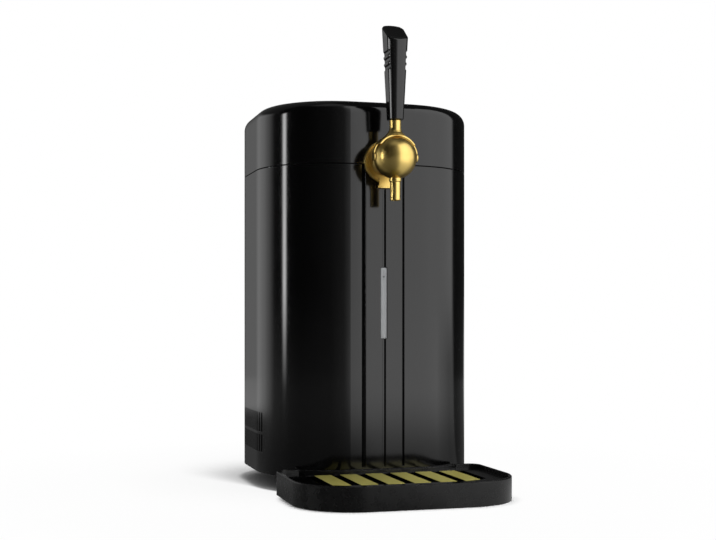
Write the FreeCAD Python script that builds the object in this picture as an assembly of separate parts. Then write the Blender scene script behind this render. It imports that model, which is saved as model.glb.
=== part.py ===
import FreeCAD, Part
import math
import os

os.makedirs("parts", exist_ok=True)

# A table-top beer dispenser for one 5 litre party keg: an insulated, Peltier-cooled body with a
# rear-hinged lid, a brass ball tap on its front and a loose drip tray with a slatted grille.
#
# Millimetres, +X to the drinker's right, +Y towards the back, +Z up.  Everything is drawn with
# the middle of the body's front at X = Y = 0 and the table at Z = 0, and save() then moves it so
# that the origin is the centre of the whole footprint.

V = FreeCAD.Vector

# ---------------------------------------------------------------- driving dimensions: the keg
keg_height = 250.0
keg_headroom = 12.1            # from the keg's top to the underside of the deck
well_radius = 90.0             # a party keg is 172 across, with 4 all round for fingers
well_wall = 1.5
well_flange = 1.6              # how far the well's rim reaches out under the deck

# ---------------------------------------------------------------- driving dimensions: the body
fit_gap = 0.3                  # between parts that are slid or dropped into each other
shell_wall = 3.0
insulation_side = 30.5         # from the well to the shell, left and right
insulation_front = 29.35       # the same, front and back
corner_radius = 91.7
front_bow = 9.5                # the front bulges by this over its full width
underside = 16.5               # height of the body's lower edge above the table
lid_height = 70.8
lid_thickness = 3.0
top_round = 14.2
seam_gap = 1.2
seam_above_deck = 2.6
deck_thickness = 3.0
screw_boss_radius = 5.2
screw_boss_inset = 6.5
screw_boss_length = 14.0
small_boss_radius = 4.2        # under the hinge leaves and the lid's own screws
small_boss_length = 5.0
post_inset = 24.0              # posts that carry the bulkhead, in from the body's corners
post_radius = 5.5

# cooling stack under the well, from the bottom up
pan_thickness = 3.0
fan_size = 92.0
fan_height = 25.0
fan_bore = 43.5
sink_size = 92.0
fin_height = 28.9
fin_thickness = 1.6
fin_count = 13
sink_base = 6.0
fan_screw_inset = 5.0
fan_hub_radius = 19.0
fan_axle_radius = 2.0
fan_motor_height = 3.0
fan_strut_half = 2.0
fan_rotor_gap = 1.0
fan_blade_count = 7
fan_blade_tip = 42.0
fan_blade_chord = 18.0
fan_blade_thickness = 1.6
fan_blade_pitch = 42.0         # degrees from flat
intake_radius = 40.0
intake_pitch = 8.0
intake_width = 4.0
intake_count = 9
peltier_size = 40.0
peltier_height = 3.8
cold_block_size = 80.0
cold_block_height = 10.2
bulkhead_thickness = 3.0

# cooling slots in both flanks
vent_width = 3.2
vent_pitch = 6.5
vent_count = 17
vent_first_y = 72.0
vent_reach = 14.0              # each slot is cut this far in from the widest point
vent_rows = ((40.0, 60.0), (63.0, 85.0))

# ---------------------------------------------------------------- driving dimensions: the front
trim_half = 21.6
trim_gap = 1.4                 # half the groove between the two strips
trim_proud = 2.6
trim_bottom = 28.0
trim_edge_round = 1.0
trim_groove_width = 3.2        # V-shaped channel in the shell beside each strip
trim_groove_depth = 1.5
window_half = 3.6
window_bottom = 170.0
window_top = 248.5
window_recess = 1.0
window_gap = 0.1               # all round the lens
window_edge_round = 0.6
light_board_half = 9.0
light_board_thickness = 1.6
light_board_over = 6.0         # beyond the window, up and down

# ---------------------------------------------------------------- driving dimensions: the tap
tap_above_seam = 2.2
tap_reach = 42.9               # from the front of the body to the ball's centre
ball_radius = 23.3
hood_gap = 0.4
hood_wall = 1.5
hood_front = 9.0               # the hood's front edge, ahead of the ball's centre
hood_skirt = 13.0              # the hood's lower edge, above the ball's centre
hood_ear_flat = 0.7            # how much of each ear is cut off flat
hood_ear_radius = 4.6
hood_strap_front = 2.0         # how far each strap reaches ahead of the ball's centre
hood_strap_back = 8.0
escutcheon_radius = 23.3
escutcheon_back = 0.4
escutcheon_thickness = 3.6
escutcheon_rim = 2.2
lug_half = 6.9
lug_flare = 1.5
lug_bottom_below_tap = 29.0
lug_lip = 1.0                  # how far the lug's foot stands out from its face
shank_radius = 8.0
neck_wall = 1.5                # of the ball's neck, round the shank
flow_radius = 3.5
plug_radius = 7.0
plug_cover = 10.3              # from the plug's end to the ball's side
plug_way_radius = 2.4
plug_head_radius = 4.0
plug_head = 0.3
journal_radius = 3.0
running_gap = 0.05
cap_radius = 8.8
spout_radius = 5.65
spout_wall = 1.6
spout_flange_radius = 6.6
spout_length = 23.0            # below the ball
spout_seat = 4.0               # the spout's top end, up inside the ball
ferrule_radius = 6.2
ferrule_flare = 5.2            # how much wider its foot is than its stem
ferrule_sink = 2.7             # its flared foot stands this far below the hood's top
ferrule_length = 17.6
grip_length = 105.6
grip_low_half = 8.2
grip_mid_half = 10.9
grip_top_half = 13.3
grip_mid_share = 0.53
grip_slant_drop = 21.7
grip_flank_share = 0.68        # of the half width: the flat flanks
grip_depth_share = 1.02
grip_front_share = 0.70
stud_radius = 3.0
stud_in_grip = 24.0
notch_depth = 2.2
notch_radius = 2.7
notch_pitch = 7.5
notch_count = 3
notch_first_below_top = 49.8

mount_half = 15.0
mount_above_tap = 16.0
mount_below_tap = 15.9
mount_depth = 8.0
mount_flange_half = 24.0
mount_flange_drop = 13.5
mount_flange_gap = 0.6         # behind the shell, which curves away from it
mount_flange_thickness = 3.6
thread_room = 10.0             # the shank's thread reaches this far into the ball's neck
washer_width = 4.0             # beyond the shank
washer_thickness = 1.5
nut_wall = 4.0                 # from the shank to the nut's flats
nut_thickness = 6.5
union_wall = 2.0
union_length = 6.0
elbow_radius = 7.5
elbow_length = 14.0
elbow_way_radius = 2.2

# ---------------------------------------------------------------- driving dimensions: fluids
beer_hose_radius = 4.75
beer_hose_bore = 3.6
gas_hose_radius = 3.5
gas_hose_bore = 2.4
barb_length = 12.0
corner_pocket_radius_out = 108.0   # from the well's axis to the two rear pockets
lance_radius = 4.0
lance_length = 245.0
lance_pocket_radius = 5.5
pocket_wall = 1.2
sleeve_radius = 12.8
sleeve_wall = 1.5
sleeve_length = 95.0
sleeve_pocket_radius = 13.4
coupler_radius = 14.0
regulator_radius = 11.0
regulator_flange_radius = 15.2
knob_radius = 11.0
knob_height = 9.6
knob_gap = 0.4                 # over the regulator's bonnet
knob_flute_count = 18
knob_flute_radius = 1.7
knob_flute_reach = 12.1
knob_pointer_half = 1.1
knob_pointer_rise = 1.2
bonnet_top = 22.0              # above the deck
stem_radius = 2.5
stem_top = 28.0
clip_wall = 2.0
clip_length = 8.0

# ---------------------------------------------------------------- driving dimensions: the lid
liner_thickness = 2.0
liner_inset = 13.0
liner_ceiling_above_seam = 42.8
liner_above_seam = 1.2
gasket_inset = 11.2
gasket_width = 2.3
lid_screw_inset = 6.5
lid_screw_angle = 20.0
lid_boss_length = 20.0
lid_notch_half = 19.0
lid_notch_gap = 2.6
hinge_radius = 4.0
hinge_standoff = 0.4           # between the hinge barrel and the rear wall
hinge_half = 28.0
hinge_mid_half = 14.0
hinge_leaf_thickness = 2.0
hinge_leaf_height = 21.0
hinge_pin_radius = 1.95

# ---------------------------------------------------------------- driving dimensions: the tray
tray_width = 238.3
tray_reach = 131.6
tray_wing = 20.5               # the wings run this far back past the body's front
tray_height = 25.5
tray_front_radius = 63.6
tray_back_radius = 13.0
tray_bow = 1.0
tray_body_gap = 0.5
tray_rim = 3.5
tray_ledge = 2.5
tray_floor = 3.0
tray_edge_round = 1.2
tongue_half = 45.0
tongue_reach = 24.0
tongue_height = 5.0
grille_below_rim = 3.9
grille_thickness = 2.2
grille_clearance = 0.4
slat_count = 8
slat_pitch = 28.7
slat_width = 18.6
slat_thickness = 1.0
slat_inlay_depth = 0.6
drain_width = 9.0
slat_back = -8.5
slat_front = -93.0
slat_zone_half = 112.0
slat_zone_radius = 60.0

# ---------------------------------------------------------------- driving dimensions: small parts
foot_radius = 11.0
foot_neck_radius = 4.0
foot_head_radius = 6.0
foot_x = 72.0
foot_inset_y = 60.0
screw_radius = 1.75
screw_head_radius = 3.2
screw_head_height = 2.2
screw_length = 8.0
board_thickness = 1.6
board_half = 45.0
board_front = 14.0
board_back = 64.0
board_standoff = 7.5
board_post_inset = 4.0
board_post_radius = 3.0
board_plug = (22.0, 20.0, 40.0, 28.0)      # left, front, right, back
board_plug_height = 9.0
board_relay_height = 15.0
board_coil_radius = 9.0
board_coil_height = 12.0
board_chip_height = 2.5
loom_radius = 2.5
loom_bend = 12.0
loom_lane = 24.0               # beside the supply, clear of the fan
supply_half = 36.0
supply_depth = 44.0
supply_height = 28.0
supply_behind = 24.0           # free space between the supply and the rear wall's face
supply_corner = 4.0
socket_x = 16.0
socket_z = 45.0
socket_flange = 1.6
inlet_half = (10.0, 7.5)       # across, up
inlet_depth = 16.0
inlet_wall = (2.5, 3.0)        # across, up
inlet_floor = 3.0
inlet_pin_radius = 1.1
inlet_pin_x = 4.2
inlet_pin_short = 4.0          # the pins end this far inside the mouth
switch_half = (6.5, 10.6)
switch_depth = 13.0
socket_gap = 0.1
rocker_half = (4.4, 8.0)
rocker_pivot_depth = 2.0
rocker_pivot_radius = 1.2
rocker_tilt = 6.0

# ---------------------------------------------------------------- places worked out from these
well_outer = well_radius + well_wall
half_width = well_outer + insulation_side + shell_wall
body_depth = 2 * (well_outer + insulation_front + shell_wall)
well_y = body_depth / 2
pan_top = underside + pan_thickness
fan_bottom = pan_top + fit_gap
fan_top = fan_bottom + fan_height
fin_bottom = fan_top + fit_gap
sink_bottom = fin_bottom + fin_height
sink_top = sink_bottom + sink_base
cold_bottom = sink_top + peltier_height
well_bottom = cold_bottom + cold_block_height
bulkhead_bottom = well_bottom - bulkhead_thickness
well_top = well_bottom + well_wall + keg_height + keg_headroom
deck_top = well_top + deck_thickness
seam = deck_top + seam_above_deck
shell_top = seam - seam_gap / 2
lid_bottom = seam + seam_gap / 2
body_top = seam + lid_height
tap_z = seam + tap_above_seam
ball = V(0, -tap_reach, tap_z)
mount_top = tap_z + mount_above_tap
mount_bottom = tap_z - mount_below_tap
neck_radius = shank_radius + neck_wall
washer_radius = shank_radius + washer_width
nut_flats = 2 * (shank_radius + nut_wall)
union_radius = shank_radius + union_wall
hood_outer_radius = ball_radius + hood_gap + hood_wall
hood_half_width = hood_outer_radius - hood_ear_flat
plug_half = ball_radius - plug_cover
ferrule_bottom_above_tap = hood_outer_radius - ferrule_sink
grip_bottom_above_tap = ferrule_bottom_above_tap + ferrule_length
nut_front = mount_depth + washer_thickness
nut_back = nut_front + nut_thickness
elbow_y = nut_back + elbow_length - elbow_radius + 1
hinge_y = body_depth + hinge_radius + hinge_standoff
hinge_reach = hinge_radius * 2 + hinge_standoff
front_y = tray_reach - (tray_reach + body_depth + hinge_reach) / 2
slat_top = tray_height - grille_below_rim
pocket_reach = corner_pocket_radius_out * math.sqrt(0.5)
coupler_at = V(-pocket_reach, well_y + pocket_reach, deck_top)
regulator_at = V(pocket_reach, well_y + pocket_reach, deck_top)


# ---------------------------------------------------------------- helpers
def box(x0, x1, y0, y1, z0, z1):
    return Part.makeBox(x1 - x0, y1 - y0, z1 - z0, V(x0, y0, z0))


def rod(radius, start, end):
    """Round bar from one point to another."""
    along = V(*end) - V(*start)
    return Part.makeCylinder(radius, along.Length, V(*start), along)


def pipe(outer, inner, start, end):
    return rod(outer, start, end).cut(rod(inner, start, end))


def fuse(first, *others):
    return first.multiFuse(list(others))


def cut(solid, *tools):
    for tool in tools:
        solid = solid.cut(tool)
    return solid


def arc(a, b, c):
    return Part.Arc(V(*a), V(*b), V(*c)).toShape()


def line(a, b):
    return Part.LineSegment(V(*a), V(*b)).toShape()


def sweep(edges, radius):
    """Round bar along runs joined by tangent arcs."""
    start = edges[0].valueAt(edges[0].FirstParameter)
    way = edges[0].tangentAt(edges[0].FirstParameter)
    ring = Part.Wire(Part.makeCircle(radius, start, way))
    return Part.Wire(edges).makePipeShell([ring], True, False)


def polygon(points):
    return Part.Face(Part.makePolygon([V(*p) for p in points + points[:1]]))


def prism(face, z0, z1):
    base = face.copy()
    base.translate(V(0, 0, z0))
    return base.extrude(V(0, 0, z1 - z0))


def turned(profile, origin, axis=(0, 0, 1)):
    """Solid of revolution from (radius, height) points, stood at origin along axis."""
    face = polygon([(r, 0, h) for r, h in profile])
    solid = face.revolve(V(0, 0, 0), V(0, 0, 1), 360)
    solid.Placement = FreeCAD.Placement(V(*origin), FreeCAD.Rotation(V(0, 0, 1), V(*axis)))
    return solid


def outline(half, front, back, front_radius, back_radius, bow, inset=0.0):
    """Plan face with a bowed front, round corners and a flat back, moved in by inset."""
    bow_radius = (half ** 2 + bow ** 2) / (2 * bow)
    bow_y = front + bow_radius
    corner_x = half - front_radius
    reach = bow_radius - front_radius
    corner_y = bow_y - math.sqrt(reach ** 2 - corner_x ** 2)
    share = (bow_radius - inset) / reach
    join = (corner_x * share, bow_y + (corner_y - bow_y) * share)
    rear_x = half - back_radius
    rear_y = back - back_radius
    side = half - inset
    radius = front_radius - inset
    rear_radius = back_radius - inset
    turn = math.atan2(corner_y - bow_y, corner_x) / 2
    middle = (corner_x + radius * math.cos(turn), corner_y + radius * math.sin(turn))
    rear_middle = rear_radius * math.sqrt(0.5)
    edges = [arc((-join[0], join[1], 0), (0, front + inset, 0), (join[0], join[1], 0))]
    for s in (1, -1):
        edges += [
            arc((s * join[0], join[1], 0), (s * middle[0], middle[1], 0), (s * side, corner_y, 0)),
            line((s * side, corner_y, 0), (s * side, rear_y, 0)),
            arc((s * side, rear_y, 0), (s * (rear_x + rear_middle), rear_y + rear_middle, 0),
                (s * rear_x, back - inset, 0)),
        ]
    edges.append(line((rear_x, back - inset, 0), (-rear_x, back - inset, 0)))
    return Part.Face(Part.Wire(Part.__sortEdges__(edges)))


def body_plan(inset=0.0):
    return outline(half_width, 0, body_depth, corner_radius, corner_radius, front_bow, inset)


def tray_plan(inset=0.0):
    """The tray's outline: a round-cornered slab with a bay that the body's front stands in."""
    slab = outline(tray_width / 2, -tray_reach, tray_wing, tray_front_radius,
                   tray_back_radius, tray_bow, inset)
    return slab.cut(body_plan(-tray_body_gap - inset)).Faces[0]


def corner_points(inset, angle=45.0):
    """One point in each rounded corner of the body, at a distance in from its surface."""
    reach = corner_radius - inset
    dx = half_width - corner_radius + reach * math.cos(math.radians(angle))
    dy = reach * math.sin(math.radians(angle))
    rear_y = body_depth - corner_radius
    bow_radius = (half_width ** 2 + front_bow ** 2) / (2 * front_bow)
    front_corner_y = bow_radius - math.sqrt((bow_radius - corner_radius) ** 2
                                            - (half_width - corner_radius) ** 2)
    return [(s * dx, y) for s in (1, -1) for y in (front_corner_y - dy, rear_y + dy)]


def screw(seat, direction):
    """Pan-head screw: the head stands behind seat and the shank runs along direction."""
    way = V(*direction)
    tip = V(*seat) + way * screw_length
    head = V(*seat) - way * screw_head_height
    return fuse(rod(screw_radius, seat, tip), rod(screw_head_radius, head, seat))


def screw_hole(seat, direction, clearance=0.0):
    way = V(*direction)
    return rod(screw_radius + clearance, V(*seat) - way, V(*seat) + way * screw_length)


def edges_where(solid, test):
    return [e for e in solid.Edges if test(e.BoundBox)]


def round_top(solid, radius):
    top = solid.BoundBox.ZMax
    flat = edges_where(solid, lambda b: abs(b.ZMin - top) < 1e-3 and abs(b.ZMax - top) < 1e-3)
    return solid.makeFillet(radius, flat)


def save(name, *solids):
    pieces = []
    for solid in solids:
        pieces += solid.Solids
    for piece in pieces:
        if not piece.isValid():
            raise ValueError("bad solid in " + name)
    shape = pieces[0] if len(pieces) == 1 else Part.makeCompound(pieces)
    shape = shape.copy()
    shape.translate(V(0, front_y, 0))
    shape.exportStep("parts/" + name + ".step")


# ---------------------------------------------------------------- screws, and what they go into
pan_screws = corner_points(screw_boss_inset)
post_points = corner_points(post_inset)
hinge_screw_x = 20.0
leaf_screw_drop = 12.0
body_leaf_screws = [(s * hinge_screw_x, seam - leaf_screw_drop) for s in (1, -1)]
lid_leaf_screws = [(s * hinge_screw_x, seam + leaf_screw_drop) for s in (1, -1)]
lid_screws_at = corner_points(lid_screw_inset, lid_screw_angle)
leaf_back = body_depth + hinge_leaf_thickness
fan_hole = fan_size / 2 - fan_screw_inset
fan_screws_at = [(sx * fan_hole, well_y + sy * fan_hole) for sx in (1, -1) for sy in (1, -1)]
board_posts = [(s * (board_half - board_post_inset), y) for s in (1, -1)
               for y in (board_front + board_post_inset, board_back - board_post_inset)]


def body_screws():
    screws = [screw((x, y, underside), (0, 0, 1)) for x, y in pan_screws]
    screws += [screw((x, y, well_bottom), (0, 0, -1)) for x, y in post_points]
    screws += [screw((x, y, deck_top), (0, 0, -1)) for x, y in pan_screws]
    screws += [screw((x, leaf_back, z), (0, -1, 0)) for x, z in body_leaf_screws]
    screws += [screw((x, y, underside), (0, 0, 1)) for x, y in fan_screws_at]
    return screws


# ---------------------------------------------------------------- body: shell and base
def rear_boss(x, z):
    return rod(small_boss_radius, (x, body_depth - shell_wall - small_boss_length, z),
               (x, body_depth - shell_wall / 2, z))


def rear_boss_room(x, z):
    """Space that the foam leaves round such a boss."""
    return rod(small_boss_radius + fit_gap,
               (x, body_depth - shell_wall - 2 * small_boss_length, z), (x, body_depth, z))


def outer_shell():
    shell = prism(body_plan(), underside, shell_top)
    shell = shell.cut(prism(body_plan(shell_wall), underside, shell_top))
    low = [rod(screw_boss_radius, (x, y, pan_top), (x, y, pan_top + screw_boss_length))
           for x, y in pan_screws]
    high = [rod(screw_boss_radius, (x, y, well_top - screw_boss_length), (x, y, well_top))
            for x, y in pan_screws]
    rear = [rear_boss(x, z) for x, z in body_leaf_screws]
    bosses = fuse(low[0], *low[1:], *high, *rear).common(prism(body_plan(shell_wall / 2), 0, seam))
    shell = shell.fuse(bosses)
    notch = mount_half + fit_gap
    shell = cut(shell,
                box(-notch, notch, -1, shell_wall + 1, mount_bottom - fit_gap, seam),
                box(-window_half - window_gap, window_half + window_gap, -1, shell_wall + 1,
                    window_bottom - window_gap, window_top + window_gap))
    for z0, z1 in vent_rows:
        for i in range(vent_count):
            y = vent_first_y + i * vent_pitch
            slot = box(half_width - vent_reach, half_width + 1, y - vent_width / 2, y + vent_width / 2,
                       z0, z1)
            shell = cut(shell, slot, slot.mirror(V(0, 0, 0), V(1, 0, 0)))
    shell = cut(shell,
                rear_hole(socket_x, inlet_half),
                rear_hole(-socket_x, switch_half))
    for x, y in pan_screws:
        shell = cut(shell, screw_hole((x, y, underside), (0, 0, 1)),
                    screw_hole((x, y, deck_top), (0, 0, -1)))
    for x, z in body_leaf_screws:
        shell = shell.cut(screw_hole((x, leaf_back, z), (0, -1, 0)))
    return cut(shell, trim_groove(-1), trim_groove(1))


def trim_groove(side):
    """V-shaped channel down the front beside one raised strip, which it sets off with a shadow."""
    half = trim_groove_width / 2
    middle = trim_half + half
    bow_radius = (half_width ** 2 + front_bow ** 2) / (2 * front_bow)
    surface = bow_radius - math.sqrt(bow_radius ** 2 - middle ** 2)
    lead = half / trim_groove_depth
    section = [(side * (middle - half - lead), surface - 1, trim_bottom),
               (side * (middle + half + lead), surface - 1, trim_bottom),
               (side * middle, surface + trim_groove_depth, trim_bottom)]
    return polygon(section).extrude(V(0, 0, body_top - trim_bottom))


def rear_hole(x, half):
    """Hole in the rear wall that a socket or switch is pushed into."""
    across = half[0] + socket_gap
    up = half[1] + socket_gap
    return box(x - across, x + across, body_depth - shell_wall - 1, body_depth + 1,
               socket_z - up, socket_z + up)


def foot_places():
    return [(s * foot_x, y) for s in (1, -1) for y in (foot_inset_y, body_depth - foot_inset_y)]


def base_pan():
    pan = prism(body_plan(shell_wall + fit_gap), underside, pan_top)
    posts = [rod(post_radius, (x, y, underside), (x, y, bulkhead_bottom)) for x, y in post_points]
    stands = [rod(board_post_radius, (x, y, underside), (x, y, pan_top + board_standoff))
              for x, y in board_posts]
    pan = fuse(pan, *posts, *stands)
    for i in range(intake_count):
        y = well_y + (i - (intake_count - 1) / 2) * intake_pitch
        reach = math.sqrt(intake_radius ** 2 - (y - well_y) ** 2)
        pan = pan.cut(box(-reach, reach, y - intake_width / 2, y + intake_width / 2,
                          underside - 1, pan_top + 1))
    for x, y in foot_places():
        pan = pan.cut(rod(foot_neck_radius, (x, y, 0), (x, y, pan_top + 1)))
    for x, y in pan_screws + fan_screws_at:
        pan = pan.cut(screw_hole((x, y, underside), (0, 0, 1), 0.25))
    for x, y in post_points:
        pan = pan.cut(screw_hole((x, y, well_bottom), (0, 0, -1)))
    return pan


def feet():
    """Rubber feet with a mushroom plug that snaps through the pan."""
    profile = [(0, 0), (foot_radius - 1.5, 0), (foot_radius, 1.5), (foot_radius - 1, underside),
               (foot_neck_radius, underside), (foot_neck_radius, pan_top),
               (foot_head_radius, pan_top), (foot_neck_radius - 0.5, pan_top + 3), (0, pan_top + 3)]
    return [turned(profile, (x, y, 0)) for x, y in foot_places()]


def bulkhead():
    """Floor of the insulated part: it carries the foam and the well on the pan's four posts."""
    half = cold_block_size / 2 + fit_gap
    plate = prism(body_plan(shell_wall + fit_gap), bulkhead_bottom, well_bottom)
    plate = plate.cut(box(-half, half, well_y - half, well_y + half, 0, seam))
    for x, y in post_points:
        plate = plate.cut(screw_hole((x, y, well_bottom), (0, 0, -1), 0.25))
    return plate


# ---------------------------------------------------------------- body: keg well and deck
def keg_well():
    flange = well_outer + well_flange
    profile = [(0, well_bottom), (well_outer, well_bottom), (well_outer, well_top - well_wall),
               (flange, well_top - well_wall), (flange, well_top), (well_radius, well_top),
               (well_radius, well_bottom + well_wall), (0, well_bottom + well_wall)]
    return turned(profile, (0, well_y, 0))


def insulation():
    top = well_top - well_wall
    foam = prism(body_plan(shell_wall + fit_gap), well_bottom, top)
    foam = foam.cut(rod(well_outer + fit_gap, (0, well_y, 0), (0, well_y, seam)))
    for x, y in pan_screws:
        foam = foam.cut(rod(screw_boss_radius + fit_gap, (x, y, well_top - screw_boss_length - 1),
                            (x, y, seam)))
    for x, y in post_points:
        foam = foam.cut(rod(screw_head_radius + fit_gap, (x, y, 0), (x, y, well_bottom + 3)))
    for x, z in body_leaf_screws:
        foam = foam.cut(rear_boss_room(x, z))
    for at, radius, depth in (
            (coupler_at, lance_pocket_radius, lance_length),
            (regulator_at, sleeve_pocket_radius, sleeve_length)):
        foam = foam.cut(rod(radius + pocket_wall + fit_gap, (at.x, at.y, deck_top - depth - 5),
                            (at.x, at.y, seam)))
    tap_room = mount_flange_half + 1
    foam = foam.cut(box(-tap_room, tap_room, 0, nut_back + union_length + 1,
                        mount_bottom - mount_flange_drop - 1, seam))
    board_room = light_board_half + 1
    foam = foam.cut(box(-board_room, board_room, 0, shell_wall + 4,
                        window_bottom - light_board_over - 2, window_top + light_board_over + 2))
    return foam


def deck():
    plate = prism(body_plan(shell_wall + fit_gap), well_top, deck_top)
    room = mount_flange_half + 1
    elbow_room = union_radius + 1
    plate = cut(plate,
                rod(well_radius, (0, well_y, 0), (0, well_y, body_top)),
                box(-room, room, 0, nut_back + 1, 0, body_top),
                box(-elbow_room, elbow_room, 0, nut_back + elbow_length + 1, 0, body_top),
                rod(lance_pocket_radius, coupler_at - V(0, 0, 9), coupler_at + V(0, 0, 9)),
                rod(sleeve_pocket_radius, regulator_at - V(0, 0, 9), regulator_at + V(0, 0, 9)))
    for x, y in pan_screws:
        plate = plate.cut(screw_hole((x, y, deck_top), (0, 0, -1), 0.25))
    return plate


def pocket(at, radius, depth):
    """Blind tube under the deck, closed at its bottom."""
    bottom = deck_top - depth - 3
    outer = rod(radius + pocket_wall, (at.x, at.y, bottom - pocket_wall), (at.x, at.y, well_top))
    return outer.cut(rod(radius, (at.x, at.y, bottom), (at.x, at.y, well_top)))


# ---------------------------------------------------------------- body: cooling and electrics
def cold_block():
    half = cold_block_size / 2
    return box(-half, half, well_y - half, well_y + half, cold_bottom, well_bottom)


def peltier_module():
    half = peltier_size / 2
    return box(-half, half, well_y - half, well_y + half, sink_top, cold_bottom)


def heat_sink():
    half = sink_size / 2
    sink = [box(-half, half, well_y - half, well_y + half, sink_bottom, sink_top)]
    pitch = (sink_size - fin_thickness) / (fin_count - 1)
    for i in range(fin_count):
        y = well_y - half + i * pitch
        sink.append(box(-half, half, y, y + fin_thickness, fin_bottom, sink_bottom))
    return fuse(*sink)


def fan_frame():
    half = fan_size / 2
    frame = box(-half, half, well_y - half, well_y + half, fan_bottom, fan_top)
    frame = frame.cut(rod(fan_bore, (0, well_y, 0), (0, well_y, seam)))
    motor = rod(fan_hub_radius, (0, well_y, fan_bottom), (0, well_y, fan_bottom + fan_motor_height))
    struts = []
    for i in range(4):
        strut = box(-fan_strut_half, fan_strut_half, fan_hub_radius - 2, fan_bore + 1,
                    fan_bottom, fan_bottom + fan_motor_height)
        strut.rotate(V(0, 0, 0), V(0, 0, 1), 45 + 90 * i)
        strut.translate(V(0, well_y, 0))
        struts.append(strut)
    frame = fuse(frame, motor, *struts)
    frame = frame.cut(rod(fan_axle_radius + running_gap, (0, well_y, 0), (0, well_y, fan_top)))
    for x, y in fan_screws_at:
        frame = frame.cut(rod(screw_radius, (x, y, 0), (x, y, seam)))
    return frame


def fan_rotor():
    low = fan_bottom + fan_motor_height + fan_rotor_gap
    high = fan_top - 1.5 * fan_rotor_gap
    hub = rod(fan_hub_radius - 1, (0, 0, low), (0, 0, high))
    axle = rod(fan_axle_radius, (0, 0, fan_bottom + 0.5), (0, 0, low + 1))
    blades = []
    for i in range(fan_blade_count):
        chord = fan_blade_chord / 2
        thick = fan_blade_thickness / 2
        blade = box(fan_hub_radius - 3, fan_blade_tip, -chord, chord, -thick, thick)
        blade.rotate(V(0, 0, 0), V(1, 0, 0), fan_blade_pitch)
        blade.translate(V(0, 0, (low + high) / 2))
        blade.rotate(V(0, 0, 0), V(0, 0, 1), 360 / fan_blade_count * i)
        blades.append(blade)
    rotor = fuse(hub, axle, *blades)
    rotor.translate(V(0, well_y, 0))
    return rotor


def control_board():
    z = pan_top + board_standoff
    board = box(-board_half, board_half, board_front, board_back, z, z + board_thickness)
    top = z + board_thickness
    relay = box(-35, -17, 30, 48, top, top + board_relay_height)
    coil = rod(board_coil_radius, (5, 40, top), (5, 40, top + board_coil_height))
    left, front, right, back = board_plug
    plug = box(left, right, front, back, top, top + board_plug_height)
    chip = box(20, 38, 40, 52, top, top + board_chip_height)
    return fuse(board, relay, coil, plug, chip)


def power_supply():
    back = body_depth - supply_behind
    block = box(-supply_half, supply_half, back - supply_depth, back, pan_top, pan_top + supply_height)
    upright = edges_where(block, lambda b: b.ZMax - b.ZMin > 1)
    return block.makeFillet(supply_corner, upright)


def wiring_loom():
    """Sleeved leads from the power supply, past the fan, to the plug on the board."""
    z = pan_top + board_standoff + board_thickness + loom_radius
    back = body_depth - supply_behind - supply_depth / 2
    plug_x = board_plug[2]
    plug_y = (board_plug[1] + board_plug[3]) / 2
    lane = supply_half + loom_lane
    bend = loom_bend
    half = bend * math.sqrt(0.5)
    edges = [
        line((supply_half, back, z), (lane - bend, back, z)),
        arc((lane - bend, back, z), (lane - bend + half, back - bend + half, z), (lane, back - bend, z)),
        line((lane, back - bend, z), (lane, plug_y + bend, z)),
        arc((lane, plug_y + bend, z), (lane - bend + half, plug_y + bend - half, z),
            (lane - bend, plug_y, z)),
        line((lane - bend, plug_y, z), (plug_x, plug_y, z)),
    ]
    return sweep(edges, loom_radius)


def power_inlet():
    across, up = inlet_half
    body = box(socket_x - across, socket_x + across, body_depth - inlet_depth, body_depth,
               socket_z - up, socket_z + up)
    flange = box(socket_x - across - 3, socket_x + across + 3, body_depth, body_depth + socket_flange,
                 socket_z - up - 2, socket_z + up + 2)
    socket = fuse(body, flange)
    half = across - inlet_wall[0]
    rise = up - inlet_wall[1]
    floor = body_depth - inlet_depth + inlet_floor
    mouth = box(socket_x - half, socket_x + half, floor, body_depth + 5,
                socket_z - rise, socket_z + rise)
    socket = socket.cut(mouth)
    pins = [rod(inlet_pin_radius, (socket_x + s * inlet_pin_x, floor - 1, socket_z),
                (socket_x + s * inlet_pin_x, body_depth - inlet_pin_short, socket_z))
            for s in (1, -1)]
    return fuse(socket, *pins)


def switch_housing():
    across, up = switch_half
    body = box(-socket_x - across, -socket_x + across, body_depth - switch_depth, body_depth,
               socket_z - up, socket_z + up)
    flange = box(-socket_x - across - 2, -socket_x + across + 2, body_depth,
                 body_depth + socket_flange, socket_z - up - 2, socket_z + up + 2)
    room_x = rocker_half[0] + fit_gap
    room_z = rocker_half[1] + 1.2
    hollow = box(-socket_x - room_x, -socket_x + room_x, body_depth - switch_depth + 3, body_depth + 5,
                 socket_z - room_z, socket_z + room_z)
    y = body_depth - rocker_pivot_depth
    pivot = rod(rocker_pivot_radius, (-socket_x - room_x - 0.5, y, socket_z),
                (-socket_x + room_x + 0.5, y, socket_z))
    return fuse(body, flange).cut(hollow).fuse(pivot)


def switch_rocker():
    """Rocker with a shallow V face, drawn tipped to its off side."""
    across, up = rocker_half
    section = [(0, 2.6), (up, 4.6), (up, 1.0), (4, -4), (-4, -4), (-up, 1.0), (-up, 4.6)]
    face = polygon([(-across, u, w) for w, u in section])
    rocker = face.extrude(V(2 * across, 0, 0))
    rocker = rocker.cut(rod(rocker_pivot_radius + running_gap, (-across - 1, 0, 0), (across + 1, 0, 0)))
    rocker.rotate(V(0, 0, 0), V(1, 0, 0), rocker_tilt)
    rocker.translate(V(-socket_x, body_depth - rocker_pivot_depth, socket_z))
    return rocker


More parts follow.
